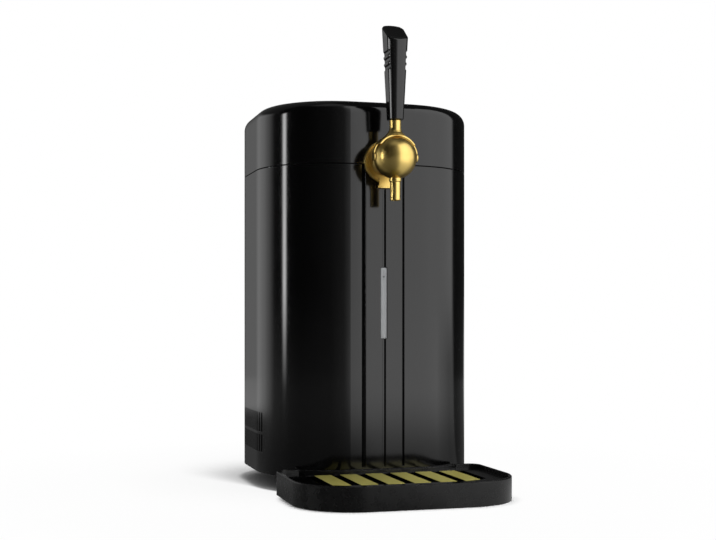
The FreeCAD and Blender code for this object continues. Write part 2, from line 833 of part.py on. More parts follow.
# ---------------------------------------------------------------- body: front trim and window
def trim_strip(side):
    """One of the two raised strips between the tap and the tray."""
    band = body_plan(-trim_proud).cut(body_plan()).Faces[0]
    strip = prism(band, trim_bottom, tap_z)
    inner, outer = sorted((side * trim_gap, side * trim_half))
    strip = strip.common(box(inner, outer, -trim_proud - 1, 5, 0, body_top))
    upright = edges_where(strip, lambda b: b.ZMax - b.ZMin > 50 and b.YMax < -trim_proud / 2)
    strip = strip.makeFillet(trim_edge_round, upright)
    room = lug_half + lug_flare + 0.8
    return cut(strip,
               rod(escutcheon_radius + 0.8, (0, -9, tap_z), (0, 9, tap_z)),
               box(-room, room, -9, 9, tap_z - lug_bottom_below_tap - 0.8, tap_z),
               box(-window_half - window_gap, window_half + window_gap, -9, 9,
                   window_bottom - window_gap, window_top + window_gap))


def window_lens():
    lens = box(-window_half, window_half, -trim_proud + window_recess, shell_wall + 0.1,
               window_bottom, window_top)
    front = edges_where(lens, lambda b: b.YMax < 0)
    return lens.makeFillet(window_edge_round, front)


def light_board():
    y = shell_wall + 0.2
    return box(-light_board_half, light_board_half, y, y + light_board_thickness,
               window_bottom - light_board_over, window_top + light_board_over)


# ---------------------------------------------------------------- body: tap
def tap_mount():
    """Block that fills the notch across the seam, with a flange behind the shell."""
    block = box(-mount_half, mount_half, -escutcheon_back, mount_depth, mount_bottom, mount_top)
    flange_front = shell_wall + mount_flange_gap
    flange = box(-mount_flange_half, mount_flange_half, flange_front,
                 flange_front + mount_flange_thickness,
                 mount_bottom - mount_flange_drop, shell_top - 1)
    mount = fuse(block, flange)
    return mount.cut(rod(shank_radius, (0, -9, tap_z), (0, 20, tap_z)))


def escutcheon():
    """Brass rose with a raised rim and a coned middle, and the index lug below it."""
    face = escutcheon_thickness
    rim = face + escutcheon_rim
    r = escutcheon_radius
    profile = [(shank_radius, 0), (r - 0.6, 0), (r, 0.8), (r, rim - 0.9), (r - 0.9, rim),
               (r - 1.8, rim), (r - 3.0, face), (15.5, face), (neck_radius + 2.2, face + 4.2),
               (neck_radius + 0.8, face + 6.0), (neck_radius + running_gap, face + 6.0),
               (neck_radius + running_gap, face), (shank_radius, face)]
    rose = turned(profile, (0, -escutcheon_back, tap_z), (0, -1, 0))
    low = tap_z - lug_bottom_below_tap
    wide = lug_half + lug_flare
    lug_section = [(-lug_half, 0, tap_z - r + 5), (lug_half, 0, tap_z - r + 5), (lug_half, 0, low + 3.2),
                   (wide, 0, low + 1.6), (wide, 0, low), (-wide, 0, low), (-wide, 0, low + 1.6),
                   (-lug_half, 0, low + 3.2)]
    lug = polygon(lug_section).extrude(V(0, -rim, 0))
    lug = lug.fuse(box(-wide, wide, -rim - lug_lip, 0, low, low + 1.6))
    lug.translate(V(0, -escutcheon_back, 0))
    return fuse(rose, lug)


def tap_shank():
    return pipe(shank_radius, flow_radius, (0, -thread_room, tap_z), (0, nut_back + union_length / 2, tap_z))


def shank_washer():
    return pipe(washer_radius, shank_radius, (0, mount_depth, tap_z), (0, nut_front, tap_z))


def shank_nut():
    corner = nut_flats / math.sqrt(3)
    points = [(corner * math.cos(math.radians(60 * i)), nut_front,
               tap_z + corner * math.sin(math.radians(60 * i))) for i in range(6)]
    nut = polygon(points).extrude(V(0, nut_thickness, 0))
    return nut.cut(rod(shank_radius, (0, 0, tap_z), (0, 40, tap_z)))


def shank_elbow():
    """Turns the flow from the shank to the left, along the deck."""
    back = nut_back + elbow_length
    union = rod(union_radius, (0, nut_back, tap_z), (0, nut_back + union_length, tap_z))
    body = rod(elbow_radius, (0, nut_back, tap_z), (0, back, tap_z))
    barb_end = -union_radius - barb_length + 1
    spigot = rod(beer_hose_bore, (barb_end, elbow_y, tap_z), (0, elbow_y, tap_z))
    elbow = fuse(union, body, spigot)
    socket = rod(shank_radius, (0, nut_back, tap_z), (0, nut_back + union_length / 2, tap_z))
    return cut(elbow, socket,
               rod(elbow_way_radius, (0, nut_back, tap_z), (0, elbow_y, tap_z)),
               rod(elbow_way_radius, (barb_end - 1, elbow_y, tap_z), (0, elbow_y, tap_z)))


def tap_ball():
    """Valve housing: a ball on a neck, bored across for the plug and through for the beer."""
    sphere = Part.makeSphere(ball_radius, ball)
    neck_end = -escutcheon_back - escutcheon_thickness
    neck = rod(neck_radius, ball, (0, neck_end, tap_z))
    housing = fuse(sphere, neck)
    return cut(housing,
               rod(shank_radius, (0, -thread_room, tap_z), (0, neck_end, tap_z)),
               rod(flow_radius, ball, (0, neck_end, tap_z)),
               rod(flow_radius, ball, ball - V(0, 0, ball_radius + 1)),
               rod(spout_radius, ball - V(0, 0, ball_radius - spout_seat),
                   ball - V(0, 0, ball_radius + 1)),
               rod(plug_radius + running_gap, ball - V(plug_half + fit_gap, 0, 0),
                   ball + V(plug_half + fit_gap, 0, 0)),
               rod(journal_radius + running_gap, ball - V(30, 0, 0), ball + V(30, 0, 0)),
               rod(cap_radius, ball + V(plug_half + fit_gap, 0, 0), ball + V(30, 0, 0)))


def ball_cap():
    """Screwed cap that closes the plug's bore, dressed to the ball's round."""
    cap = rod(cap_radius, ball + V(plug_half + fit_gap, 0, 0), ball + V(30, 0, 0))
    cap = cap.common(Part.makeSphere(ball_radius, ball))
    return cap.cut(rod(journal_radius + running_gap, ball, ball + V(30, 0, 0)))


def spout():
    top = ball_radius - spout_seat
    drop = ball_radius + spout_length
    inner = spout_radius - spout_wall
    flange_top = math.sqrt(ball_radius ** 2 - spout_flange_radius ** 2)
    profile = [(inner, -top), (spout_radius, -top), (spout_radius, -ball_radius - 0.4),
               (spout_flange_radius, -ball_radius - 0.4), (spout_flange_radius, -ball_radius - 2.4),
               (spout_radius, -ball_radius - 3.4), (spout_radius, -drop + 0.5),
               (spout_radius - 0.5, -drop), (inner, -drop)]
    tube = turned(profile, ball)
    collar = pipe(spout_flange_radius, spout_radius, ball - V(0, 0, flange_top - 1.2),
                  ball - V(0, 0, ball_radius + 0.4))
    collar = collar.cut(Part.makeSphere(ball_radius, ball))
    return fuse(tube, collar)


# ---------------------------------------------------------------- tap handle
def tap_hood():
    """Cap over the ball's top, with a strap down each side that ends in a round ear for the plug."""
    reach = hood_outer_radius + 1
    shell = Part.makeSphere(hood_outer_radius).cut(Part.makeSphere(ball_radius + hood_gap))
    upper = box(-reach, reach, -hood_front, reach, hood_skirt, reach)
    ears = rod(hood_ear_radius, (-reach, 0, 0), (reach, 0, 0))
    straps = box(-reach, reach, -hood_strap_front, hood_strap_back, 0, hood_skirt + 1)
    shell = shell.common(fuse(upper, ears, straps))
    shell = shell.common(box(-hood_half_width, hood_half_width, -reach, reach, -reach, reach))
    neck_room = neck_radius + 1.6
    shell = cut(shell,
                rod(neck_room, (0, 5, 0), (0, reach, 0)),
                rod(journal_radius, (-reach, 0, 0), (reach, 0, 0)),
                rod(stud_radius, (0, 0, 5), (0, 0, reach)))
    shell.translate(ball)
    return shell


def grip_ferrule():
    """Brass collar that flares down on to the hood."""
    bottom = ferrule_bottom_above_tap
    top = grip_bottom_above_tap
    r = ferrule_radius
    flare = ferrule_flare
    profile = [(stud_radius, bottom), (r + flare, bottom), (r + 0.69 * flare, bottom + 2.2),
               (r + 0.37 * flare, bottom + 4.0), (r + 0.13 * flare, bottom + 6.2), (r, bottom + 8.6),
               (r, top - 0.6), (r - 0.4, top), (stud_radius, top)]
    collar = turned(profile, ball)
    return collar.cut(Part.makeSphere(hood_outer_radius, ball))


def grip_stud():
    return rod(stud_radius, ball + V(0, 0, ball_radius + hood_gap + 0.2),
               ball + V(0, 0, grip_bottom_above_tap + stud_in_grip))


def grip_section(half, z):
    """Eight-sided section: a square with its corners cut off on the slant."""
    flank = half * grip_flank_share
    depth = half * grip_depth_share
    front = half * grip_front_share
    points = [(half, -flank), (half, flank), (front, depth), (-front, depth),
              (-half, flank), (-half, -flank), (-front, -depth), (front, -depth)]
    return Part.makePolygon([V(x, y, z) for x, y in points + points[:1]])


def tap_grip():
    """Black grip that widens upwards, cut off on a slant that falls towards the drinker."""
    low = grip_bottom_above_tap
    middle = low + grip_length * grip_mid_share
    high = low + grip_length
    lower = Part.makeLoft([grip_section(grip_low_half, low), grip_section(grip_mid_half, middle)],
                          True, True)
    upper = Part.makeLoft([grip_section(grip_mid_half, middle), grip_section(grip_top_half, high)],
                          True, True)
    grip = lower.fuse(upper).removeSplitter()
    depth = grip_top_half * grip_depth_share
    slope = math.degrees(math.atan2(grip_slant_drop, 2 * depth))
    slant = box(-40, 40, -40, 40, 0, 40)
    slant.translate(V(0, -depth, 0))
    slant.rotate(V(0, depth, 0), V(1, 0, 0), slope)
    slant.translate(V(0, 0, high))
    grip = grip.cut(slant)
    for i in range(notch_count):
        z = high - notch_first_below_top + i * notch_pitch
        share = (z - middle) / (high - middle)
        half = grip_mid_half + (grip_top_half - grip_mid_half) * share
        for side in (1, -1):
            x = side * (half + notch_radius - notch_depth)
            grip = grip.cut(rod(notch_radius, (x, -40, z), (x, 40, z)))
    grip = grip.cut(rod(stud_radius, (0, 0, low), (0, 0, low + stud_in_grip + 1)))
    grip.translate(ball)
    return grip


def valve_plug():
    """Plug with an L-shaped way through it, shut at rest and open with the handle forward."""
    plug = rod(plug_radius, (-plug_half, 0, 0), (plug_half, 0, 0))
    journals = rod(journal_radius, (-hood_half_width, 0, 0), (hood_half_width, 0, 0))
    heads = [rod(plug_head_radius, (s * hood_half_width, 0, 0),
                 (s * (hood_half_width + plug_head), 0, 0)) for s in (1, -1)]
    plug = fuse(plug, journals, *heads)
    diagonal = math.sqrt(0.5)
    for y in (diagonal, -diagonal):
        plug = plug.cut(rod(plug_way_radius, (0, 0, 0), (0, y * 9, -diagonal * 9)))
    plug.translate(ball)
    return plug


# ---------------------------------------------------------------- body: hoses, coupler, gas
rear_bend = 70.0
gas_bend = 79.0
barb_turn = math.radians(30)   # the coupler's two barbs lean this far off the axes
beer_way = V(-math.sin(barb_turn), -math.cos(barb_turn), 0)
gas_way = V(math.cos(barb_turn), math.sin(barb_turn), 0)
regulator_way = V(-gas_way.x, gas_way.y, 0)
beer_run = coupler_at + beer_way * (coupler_radius + barb_length)
hose_x = beer_run.x - rear_bend * (1 - math.cos(barb_turn))
side_bend = -union_radius - barb_length - hose_x


def around(centre, radius, degrees):
    a = math.radians(degrees)
    return (centre[0] + radius * math.cos(a), centre[1] + radius * math.sin(a), tap_z)


def beer_hose():
    """From the elbow, round the left of the well's mouth, to the coupler."""
    bend = (-union_radius - barb_length, elbow_y + side_bend)
    end = coupler_at + beer_way * coupler_radius
    rear = (hose_x + rear_bend, beer_run.y - rear_bend * math.sin(barb_turn))
    meet = around(rear, rear_bend, 180 - 30)
    edges = [
        line((-union_radius, elbow_y, tap_z), (bend[0], elbow_y, tap_z)),
        arc((bend[0], elbow_y, tap_z), around(bend, side_bend, 225), around(bend, side_bend, 180)),
        line(around(bend, side_bend, 180), around(rear, rear_bend, 180)),
        arc(around(rear, rear_bend, 180), around(rear, rear_bend, 165), meet),
        line(meet, (end.x, end.y, tap_z)),
    ]
    return sweep(edges, beer_hose_radius).cut(sweep(edges, beer_hose_bore))


def gas_hose():
    """From the regulator, round the back of the well's mouth, to the coupler."""
    start = regulator_at + regulator_way * regulator_radius
    run = start + regulator_way * barb_length
    centre = (run.x - gas_bend * math.sin(barb_turn), run.y - gas_bend * math.cos(barb_turn))
    far = (-centre[0], centre[1])
    end = coupler_at + gas_way * coupler_radius
    edges = [
        line((start.x, start.y, tap_z), (run.x, run.y, tap_z)),
        arc((run.x, run.y, tap_z), around(centre, gas_bend, 75), around(centre, gas_bend, 90)),
        line(around(centre, gas_bend, 90), around(far, gas_bend, 90)),
        arc(around(far, gas_bend, 90), around(far, gas_bend, 105), (-run.x, run.y, tap_z)),
        line((-run.x, run.y, tap_z), (end.x, end.y, tap_z)),
    ]
    return sweep(edges, gas_hose_radius).cut(sweep(edges, gas_hose_bore))


def gas_hose_y():
    run = regulator_at + regulator_way * (regulator_radius + barb_length)
    return run.y + gas_bend * (1 - math.cos(barb_turn))


def hose_clips():
    """Open saddles on the deck that hold the two hoses."""
    half = clip_length / 2
    clips = []
    for y in (well_y - 14, well_y + 12):
        wide = beer_hose_radius + clip_wall
        clip = box(hose_x - wide, hose_x + wide, y - half, y + half, deck_top, tap_z + 2)
        clips.append(clip.cut(rod(beer_hose_radius, (hose_x, y - 9, tap_z), (hose_x, y + 9, tap_z))))
    y = gas_hose_y()
    wide = gas_hose_radius + clip_wall
    clip = box(-half, half, y - wide, y + wide, deck_top, tap_z + 2)
    clips.append(clip.cut(rod(gas_hose_radius, (-9, y, tap_z), (9, y, tap_z))))
    return clips


def barb(at, way, start, bore):
    """Spigot that a hose is pushed on to."""
    centre = V(at.x, at.y, tap_z)
    return rod(bore, centre, centre + way * (start + barb_length - 1))


def keg_coupler():
    """Coupler head, parked over the pocket for its riser tube."""
    r = coupler_radius
    profile = [(0, 0), (r, 0), (r, 9), (r - 2.5, 10.5), (r - 2.5, 17), (r - 1, 18), (r - 1, 24),
               (r - 3, 26), (0, 26)]
    head = turned(profile, coupler_at)
    return fuse(head, barb(coupler_at, beer_way, r, beer_hose_bore),
                barb(coupler_at, gas_way, r, gas_hose_bore))


def riser_tube():
    foot = deck_top - lance_length
    return pipe(lance_radius, lance_radius - 1.2, (coupler_at.x, coupler_at.y, foot), coupler_at)


def gas_regulator():
    r = regulator_radius
    flange = regulator_flange_radius
    profile = [(0, 0), (flange, 0), (flange, 1.0), (r, 1.0), (r, 18), (r - 2, 20), (r - 5, 20),
               (r - 5, bonnet_top), (stem_radius, bonnet_top), (stem_radius, stem_top), (0, stem_top)]
    body = turned(profile, regulator_at)
    return fuse(body, barb(regulator_at, regulator_way, r, gas_hose_bore))


def cartridge_sleeve():
    foot = deck_top - sleeve_length
    sleeve = rod(sleeve_radius, (regulator_at.x, regulator_at.y, foot), regulator_at)
    hollow = rod(sleeve_radius - sleeve_wall, (regulator_at.x, regulator_at.y, foot + 2), regulator_at)
    return sleeve.cut(hollow)


def regulator_knob():
    """Fluted knob with a pointer ridge on its top."""
    low = bonnet_top + knob_gap
    high = low + knob_height
    knob = round_top(rod(knob_radius, (0, 0, low), (0, 0, high)), 1.2)
    for i in range(knob_flute_count):
        a = 2 * math.pi * i / knob_flute_count
        x = knob_flute_reach * math.cos(a)
        y = knob_flute_reach * math.sin(a)
        knob = knob.cut(rod(knob_flute_radius, (x, y, low - 1), (x, y, high + 1)))
    pointer = box(-knob_pointer_half, knob_pointer_half, -knob_radius + 3, 0,
                  high - 0.5, high + knob_pointer_rise)
    knob = knob.fuse(pointer)
    knob = knob.cut(rod(stem_radius + running_gap, (0, 0, low - 1), (0, 0, stem_top + knob_gap)))
    knob.translate(regulator_at)
    return knob


# ---------------------------------------------------------------- hinge and lid
def hinge_leaf(low, high, parts, bore):
    """Leaf on the rear wall with its share of the barrel."""
    plate = box(-hinge_half, hinge_half, body_depth, leaf_back, low, high)
    solids = [plate]
    for x0, x1 in parts:
        solids.append(rod(hinge_radius, (x0, hinge_y, seam), (x1, hinge_y, seam)))
        web_low, web_high = (high, seam) if high < seam else (seam, low)
        solids.append(box(x0, x1, body_depth + hinge_standoff, leaf_back, web_low, web_high))
    leaf = fuse(*solids)
    return leaf.cut(rod(bore, (-40, hinge_y, seam), (40, hinge_y, seam)))


def hinge_leaf_body():
    gap = hinge_mid_half + fit_gap
    leaf = hinge_leaf(seam - hinge_leaf_height, seam - hinge_radius - 1.5,
                      ((-hinge_half, -gap), (gap, hinge_half)), hinge_pin_radius)
    for x, z in body_leaf_screws:
        leaf = leaf.cut(screw_hole((x, leaf_back, z), (0, -1, 0), 0.25))
    return leaf


def hinge_leaf_lid():
    leaf = hinge_leaf(seam + hinge_radius + 1.5, seam + hinge_leaf_height,
                      ((-hinge_mid_half, hinge_mid_half),), hinge_pin_radius + running_gap)
    for x, z in lid_leaf_screws:
        leaf = leaf.cut(screw_hole((x, leaf_back, z), (0, -1, 0), 0.25))
    return leaf


def hinge_pin():
    return rod(hinge_pin_radius, (-hinge_half - 0.6, hinge_y, seam), (hinge_half + 0.6, hinge_y, seam))


def lid_shell():
    outer = round_top(prism(body_plan(), lid_bottom, body_top), top_round)
    inner = round_top(prism(body_plan(lid_thickness), lid_bottom, body_top - lid_thickness),
                      top_round - lid_thickness)
    shell = outer.cut(inner)
    bosses = [rod(small_boss_radius, (x, y, seam + liner_above_seam + liner_thickness),
                  (x, y, seam + lid_boss_length)) for x, y in lid_screws_at]
    rear = [rear_boss(x, z) for x, z in lid_leaf_screws]
    bosses = fuse(bosses[0], *bosses[1:], *rear)
    shell = shell.fuse(bosses.common(prism(body_plan(lid_thickness / 2), 0, body_top)))
    notch = mount_half + 2 * fit_gap
    shell = shell.cut(box(-notch, notch, -1, lid_thickness + 1, seam - 5, mount_top + 2 * fit_gap))
    for x, y in lid_screws_at:
        shell = shell.cut(screw_hole((x, y, seam + liner_above_seam), (0, 0, 1)))
    for x, z in lid_leaf_screws:
        shell = shell.cut(screw_hole((x, leaf_back, z), (0, -1, 0)))
    return shell


def tap_clearance():
    """Room that the lid's inner parts leave for the tap's mount, nut and elbow."""
    return box(-lid_notch_half, lid_notch_half, -1, liner_inset + liner_thickness + lid_notch_gap,
               seam - 5, mount_top + lid_notch_gap)


def lid_liner():
    low = seam + liner_above_seam
    ceiling = seam + liner_ceiling_above_seam
    flange = prism(body_plan(lid_thickness + fit_gap), low, low + liner_thickness)
    pan = prism(body_plan(liner_inset), low, ceiling)
    liner = flange.fuse(pan)
    liner = liner.cut(prism(body_plan(liner_inset + liner_thickness), low - 1, ceiling - liner_thickness))
    liner = liner.cut(tap_clearance())
    for x, y in lid_screws_at:
        liner = liner.cut(screw_hole((x, y, low), (0, 0, 1), 0.25))
    return liner


def lid_foam():
    low = seam + liner_above_seam + liner_thickness
    foam = prism(body_plan(lid_thickness + fit_gap), low, body_top - lid_thickness - fit_gap)
    foam = round_top(foam, top_round - lid_thickness)
    hollow = prism(body_plan(liner_inset - fit_gap), low - 1, seam + liner_ceiling_above_seam + fit_gap)
    foam = cut(foam, hollow, tap_clearance())
    for x, y in lid_screws_at:
        foam = foam.cut(rod(small_boss_radius + fit_gap, (x, y, 0), (x, y, seam + lid_boss_length + 1)))
    for x, z in lid_leaf_screws:
        foam = foam.cut(rear_boss_room(x, z))
    return foam


def lid_gasket():
    """Soft strip under the liner's flange that closes on the deck."""
    ring = body_plan(gasket_inset).cut(body_plan(gasket_inset + gasket_width)).Faces[0]
    gasket = prism(ring, deck_top + fit_gap, seam + liner_above_seam)
    return gasket.cut(tap_clearance())


def lid_screws():
    low = seam + liner_above_seam
    screws = [screw((x, y, low), (0, 0, 1)) for x, y in lid_screws_at]
    return screws + [screw((x, leaf_back, z), (0, -1, 0)) for x, z in lid_leaf_screws]


# ---------------------------------------------------------------- drip tray and grille
def drip_tray():
    tray = prism(tray_plan(), 0, tray_height)
    tray = cut(tray,
               prism(tray_plan(tray_rim), slat_top - grille_thickness, tray_height + 1),
               prism(tray_plan(tray_rim + tray_ledge), tray_floor, tray_height))
    outer = edges_where(tray, lambda b: b.ZMin > tray_height - 0.01)
    tray = tray.makeChamfer(tray_edge_round * 0.6, outer)
    tongue = box(-tongue_half, tongue_half, -tray_body_gap - 1, tongue_reach, 0, tongue_height)
    tongue = tongue.makeFillet(tongue_height - 1.5,
                               edges_where(tongue, lambda b: b.ZMin > 1 and b.YMin > tongue_reach - 1))
    return tray.fuse(tongue)


def slat_centres():
    return [(i - (slat_count - 1) / 2) * slat_pitch for i in range(slat_count)]


def slat_zone(inset=0.0):
    return outline(slat_zone_half, slat_front, slat_back, slat_zone_radius, 1.5, tray_bow, inset)


def tray_grille():
    """Black plate with a drain between each pair of bars."""
    low = slat_top - grille_thickness
    plate = prism(tray_plan(tray_rim + grille_clearance), low, slat_top)
    zone = prism(slat_zone(), low - 1, slat_top + 1)
    for left, right in zip(slat_centres(), slat_centres()[1:]):
        middle = (left + right) / 2
        half = drain_width / 2
        drain = box(middle - half, middle + half, slat_front - 1, slat_back + 1, low - 1, slat_top + 1)
        plate = plate.cut(drain.common(zone))
    for x in slat_centres()[1:-1]:
        plate = plate.cut(slat_blank(x, 0.0))
    return plate


def slat_blank(x, clearance):
    half = slat_width / 2 - clearance
    low = slat_top - slat_inlay_depth
    zone = prism(slat_zone(clearance + 0.6), low, low + slat_thickness)
    return zone.common(box(x - half, x + half, slat_front - 1, slat_back + 1, 0, body_top))


def grille_slats():
    """Brass-coloured plates let into the six middle bars; the outer bars stay plain."""
    slats = []
    for x in slat_centres()[1:-1]:
        slat = slat_blank(x, 0.1)
        slats.append(slat.makeChamfer(0.3, edges_where(slat, lambda b: b.ZMin > slat_top + 0.1)))
    return slats


# ---------------------------------------------------------------- everything
save("outer_shell", outer_shell())
save("base_pan", base_pan())
save("feet", *feet())
save("body_screws", *body_screws())
save("bulkhead", bulkhead())
save("keg_well", keg_well())
save("insulation", insulation())
save("deck", deck())
save("lance_pocket", pocket(coupler_at, lance_pocket_radius, lance_length))
save("cartridge_pocket", pocket(regulator_at, sleeve_pocket_radius, sleeve_length))
save("cold_block", cold_block())
save("peltier_module", peltier_module())
save("heat_sink", heat_sink())
save("fan_frame", fan_frame())
save("fan_rotor", fan_rotor())
save("control_board", control_board())
save("power_supply", power_supply())
save("wiring_loom", wiring_loom())
save("power_inlet", power_inlet())
save("switch_housing", switch_housing())
save("switch_rocker", switch_rocker())
save("trim_left", trim_strip(-1))
save("trim_right", trim_strip(1))
save("window_lens", window_lens())
save("light_board", light_board())
save("tap_mount", tap_mount())
save("escutcheon", escutcheon())
save("tap_shank", tap_shank())
save("shank_washer", shank_washer())
save("shank_nut", shank_nut())
save("shank_elbow", shank_elbow())
save("tap_ball", tap_ball())
save("ball_cap", ball_cap())
save("spout", spout())
save("tap_hood", tap_hood())
save("grip_ferrule", grip_ferrule())
save("grip_stud", grip_stud())
save("tap_grip", tap_grip())
save("valve_plug", valve_plug())
save("beer_hose", beer_hose())
save("gas_hose", gas_hose())
save("hose_clips", *hose_clips())
save("keg_coupler", keg_coupler())
save("riser_tube", riser_tube())
save("gas_regulator", gas_regulator())
save("cartridge_sleeve", cartridge_sleeve())
save("regulator_knob", regulator_knob())
save("hinge_leaf_body", hinge_leaf_body())
save("hinge_leaf_lid", hinge_leaf_lid())
save("hinge_pin", hinge_pin())
save("lid_shell", lid_shell())
save("lid_liner", lid_liner())
save("lid_foam", lid_foam())
save("lid_gasket", lid_gasket())
save("lid_screws", *lid_screws())
save("drip_tray", drip_tray())
save("tray_grille", tray_grille())
save("grille_slats", *grille_slats())
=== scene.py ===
import math

import bmesh
import bpy
from mathutils import Matrix, Vector


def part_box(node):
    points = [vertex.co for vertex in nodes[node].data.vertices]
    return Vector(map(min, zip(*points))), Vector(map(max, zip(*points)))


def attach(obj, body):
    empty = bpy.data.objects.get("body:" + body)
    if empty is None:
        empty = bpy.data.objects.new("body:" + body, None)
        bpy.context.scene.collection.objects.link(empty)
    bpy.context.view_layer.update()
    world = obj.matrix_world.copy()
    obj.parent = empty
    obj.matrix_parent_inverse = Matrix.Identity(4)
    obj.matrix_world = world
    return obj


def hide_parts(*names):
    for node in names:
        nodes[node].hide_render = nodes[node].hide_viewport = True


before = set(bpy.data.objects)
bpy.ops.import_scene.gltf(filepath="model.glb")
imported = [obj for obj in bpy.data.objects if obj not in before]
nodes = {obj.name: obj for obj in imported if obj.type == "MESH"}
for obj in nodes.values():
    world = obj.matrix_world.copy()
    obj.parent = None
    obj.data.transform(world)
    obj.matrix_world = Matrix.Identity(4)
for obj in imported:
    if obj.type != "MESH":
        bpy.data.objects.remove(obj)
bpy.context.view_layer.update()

# The looks of the mini keg beer dispenser, in metres, in the frame of its CAD model: its own origin
# is the centre of the footprint on the table, +X to the drinker's right and +Z up.

scene = bpy.context.scene
scene.view_settings.view_transform = "Standard"
MM = 0.001

# ---------------------------------------------------------------- camera, lamps and room
SENSOR_WIDTH = 36              # of the camera, in millimetres like its lens
LENS = 60.55
SHIFT_UP = 0.0669
CAMERA_AT = (-0.39742, -1.3385, 0.19287)
CAMERA_LEVEL = 90              # degrees from looking straight down
CAMERA_TURN = -16.09           # degrees from facing the front squarely

WALL_RADIUS = 2.5
WALL_HEIGHT = 4.6
WALL_SEGMENTS = 180
FOOT_TOP = 0.33                # below this the wall blends into what the floor shows
TOP_SOFT = 0.5                 # height over which the lit wall fades into the roof
ROOF_FROM = 0.02               # the roof's own look starts this far in from the wall,
ROOF_AT = 0.25                 # and further in than this there is nothing else
RAMP_LENGTH = 5.0              # length at the far end of a ramp along a height or a distance
GLOW = 10.0                    # strength that the ramps of the wall and floor are shares of
FLOOR_RADIUS = 12.0
FLOOR_SEGMENTS = 96
FLOOR_COLOUR = (0.94, 0.94, 0.94, 1)
FLOOR_BASE = 0.07              # least radiance of the floor in gloss
SHADOW_LEAST = 0.008           # this far from the body the floor is nearly plain white again, and
SHADOW_GROWTH = 0.56           # this much further for each metre towards the rear
CONTACT_SHARE = 0.40           # share of the body's shade that ends close to it,
CONTACT_REACH = 0.010          # within this distance
TRAY_SHADOW = 0.012            # distance from the tray within which its shade ends
SHADOW_LEFT = 0.10             # share of the light and shade that is still seen beyond all that
WHITE_FROM = 0.30              # distances from the middle between which that share goes too
WHITE_AT = 0.60
BODY_FOOTPRINT = ((0, 0.0616, 0), (0.125, 0.1238, 0), 0.09)      # centre, half size, corner radius
TRAY_FOOTPRINT = ((0, -0.1178, 0), (0.119, 0.0761, 0), 0.06)
AMBIENT = 0.24                 # strength of the even light from all round

# What stands round the object, seen in gloss only: (azimuth, radiance).  Azimuth 0 is in front of
# it and 90 to its right: a wide soft box at the right, a narrow strip at the left, and a soft box
# behind the left shoulder, with dark card between them.
WALL_STOPS = (
    (-180, 0.08), (-171, 0.19), (-163, 0.34), (-150, 0.84), (-132, 1.10), (-119, 0.76), (-108, 0.08),
    (-98, 0.03), (-63, 0.01), (-48, 0.02), (-19, 0.06), (1, 0.16), (4, 0.36), (8.4, 1.0), (11.5, 1.75),
    (50, 1.80), (67, 1.60), (84, 1.40), (91.5, 1.28), (96, 0.03), (150, 0.02), (180, 0.06),
)
STRIP_STOPS = ((-180, 0), (-93, 0), (-90.2, GLOW), (-87, GLOW), (-84.6, 0), (180, 0))
STRIP_BY_HEIGHT = (            # how bright the strip is at each height
    (0, 0.10), (0.113, 0.34), (0.193, 0.66), (0.27, 0.94), (0.33, 1.0), (0.8, 1.0), (1.12, 0.7), (1.3, 0.0),
    (5, 0.0),
)
FOOT_STOPS = (                 # radiance at the foot of the wall, where the floor meets it
    (-180, 0.06), (-150, 0.09), (-132, 0.15), (-119, 0.26), (-104, 0.22), (-90, 0.16), (-78, 0.10),
    (-63, 0.065), (-19, 0.10), (2, 0.25), (12.5, 1.85), (60, 1.85), (67, 1.40), (84, 0.70), (95, 0.55),
    (98, 0.05), (136, 0.05), (144, 0.55), (165, 0.60), (180, 0.38),
)
FAR_STOPS = (                  # what the soft box at the rear left adds there and on the far floor
    (-180, 0), (-171, 0.12), (-163, 0.28), (-150, 0.75), (-132, 0.95), (-119, 0.50), (-108, 0), (180, 0),
)
FAR_FROM = 1.00                # distances from the middle between which the floor takes it up
FAR_AT = 1.35
STRIP_IN_FLOOR = 0.10          # share of the strip that the floor mirrors furthest out,
STRIP_FROM = 1.0               # growing from nothing here
STRIP_AT = 5.5                 # to all of it here
ROOF_STOPS = (
    (-180, 0.10), (-75, 0.10), (-60, 0.33), (20, 0.33), (40, 0.05), (150, 0.03), (180, 0.10),
)
TOP_BY_AZIMUTH = (             # how high the lit wall reaches, as a share of its height
    (-180, 0.23), (-104, 0.23), (-100, 1.0), (60, 1.0), (84, 0.80), (97, 0.38), (180, 0.23),
)
FLOOR_BY_DISTANCE = (          # share of FOOT_STOPS that the floor shows at each distance
    (0, 0.22), (0.395, 0.31), (0.57, 0.38), (0.78, 0.54), (1.03, 0.72), (1.37, 0.87), (1.8, 0.97),
    (2.4, 1.0), (5, 1.0),
)


def link(thing):
    scene.collection.objects.link(thing)
    return thing


def make_camera():
    data = bpy.data.cameras.new("camera")
    data.sensor_width = SENSOR_WIDTH
    data.lens = LENS
    data.shift_y = SHIFT_UP
    camera = link(bpy.data.objects.new("camera", data))
    camera.location = CAMERA_AT
    camera.rotation_euler = (math.radians(CAMERA_LEVEL), 0, math.radians(CAMERA_TURN))
    scene.camera = camera


def lamp(name, azimuth, height, distance, size, strength, target=(0, 0, 0.2)):
    """Soft square lamp that no gloss shows; strength is the light it alone would give a white card."""
    data = bpy.data.lights.new(name, "AREA")
    data.shape = "SQUARE"
    data.size = size
    light = link(bpy.data.objects.new(name, data))
    flat = distance * math.cos(math.radians(height))
    light.location = Vector(target) + Vector((
        flat * math.sin(math.radians(azimuth)),
        -flat * math.cos(math.radians(azimuth)),
        distance * math.sin(math.radians(height))))
    aim = Vector(target) - light.location
    light.rotation_euler = aim.to_track_quat("-Z", "Y").to_euler()
    data.energy = strength * math.pi * distance ** 2 * math.pi
    light.visible_glossy = False
    light.visible_transmission = False


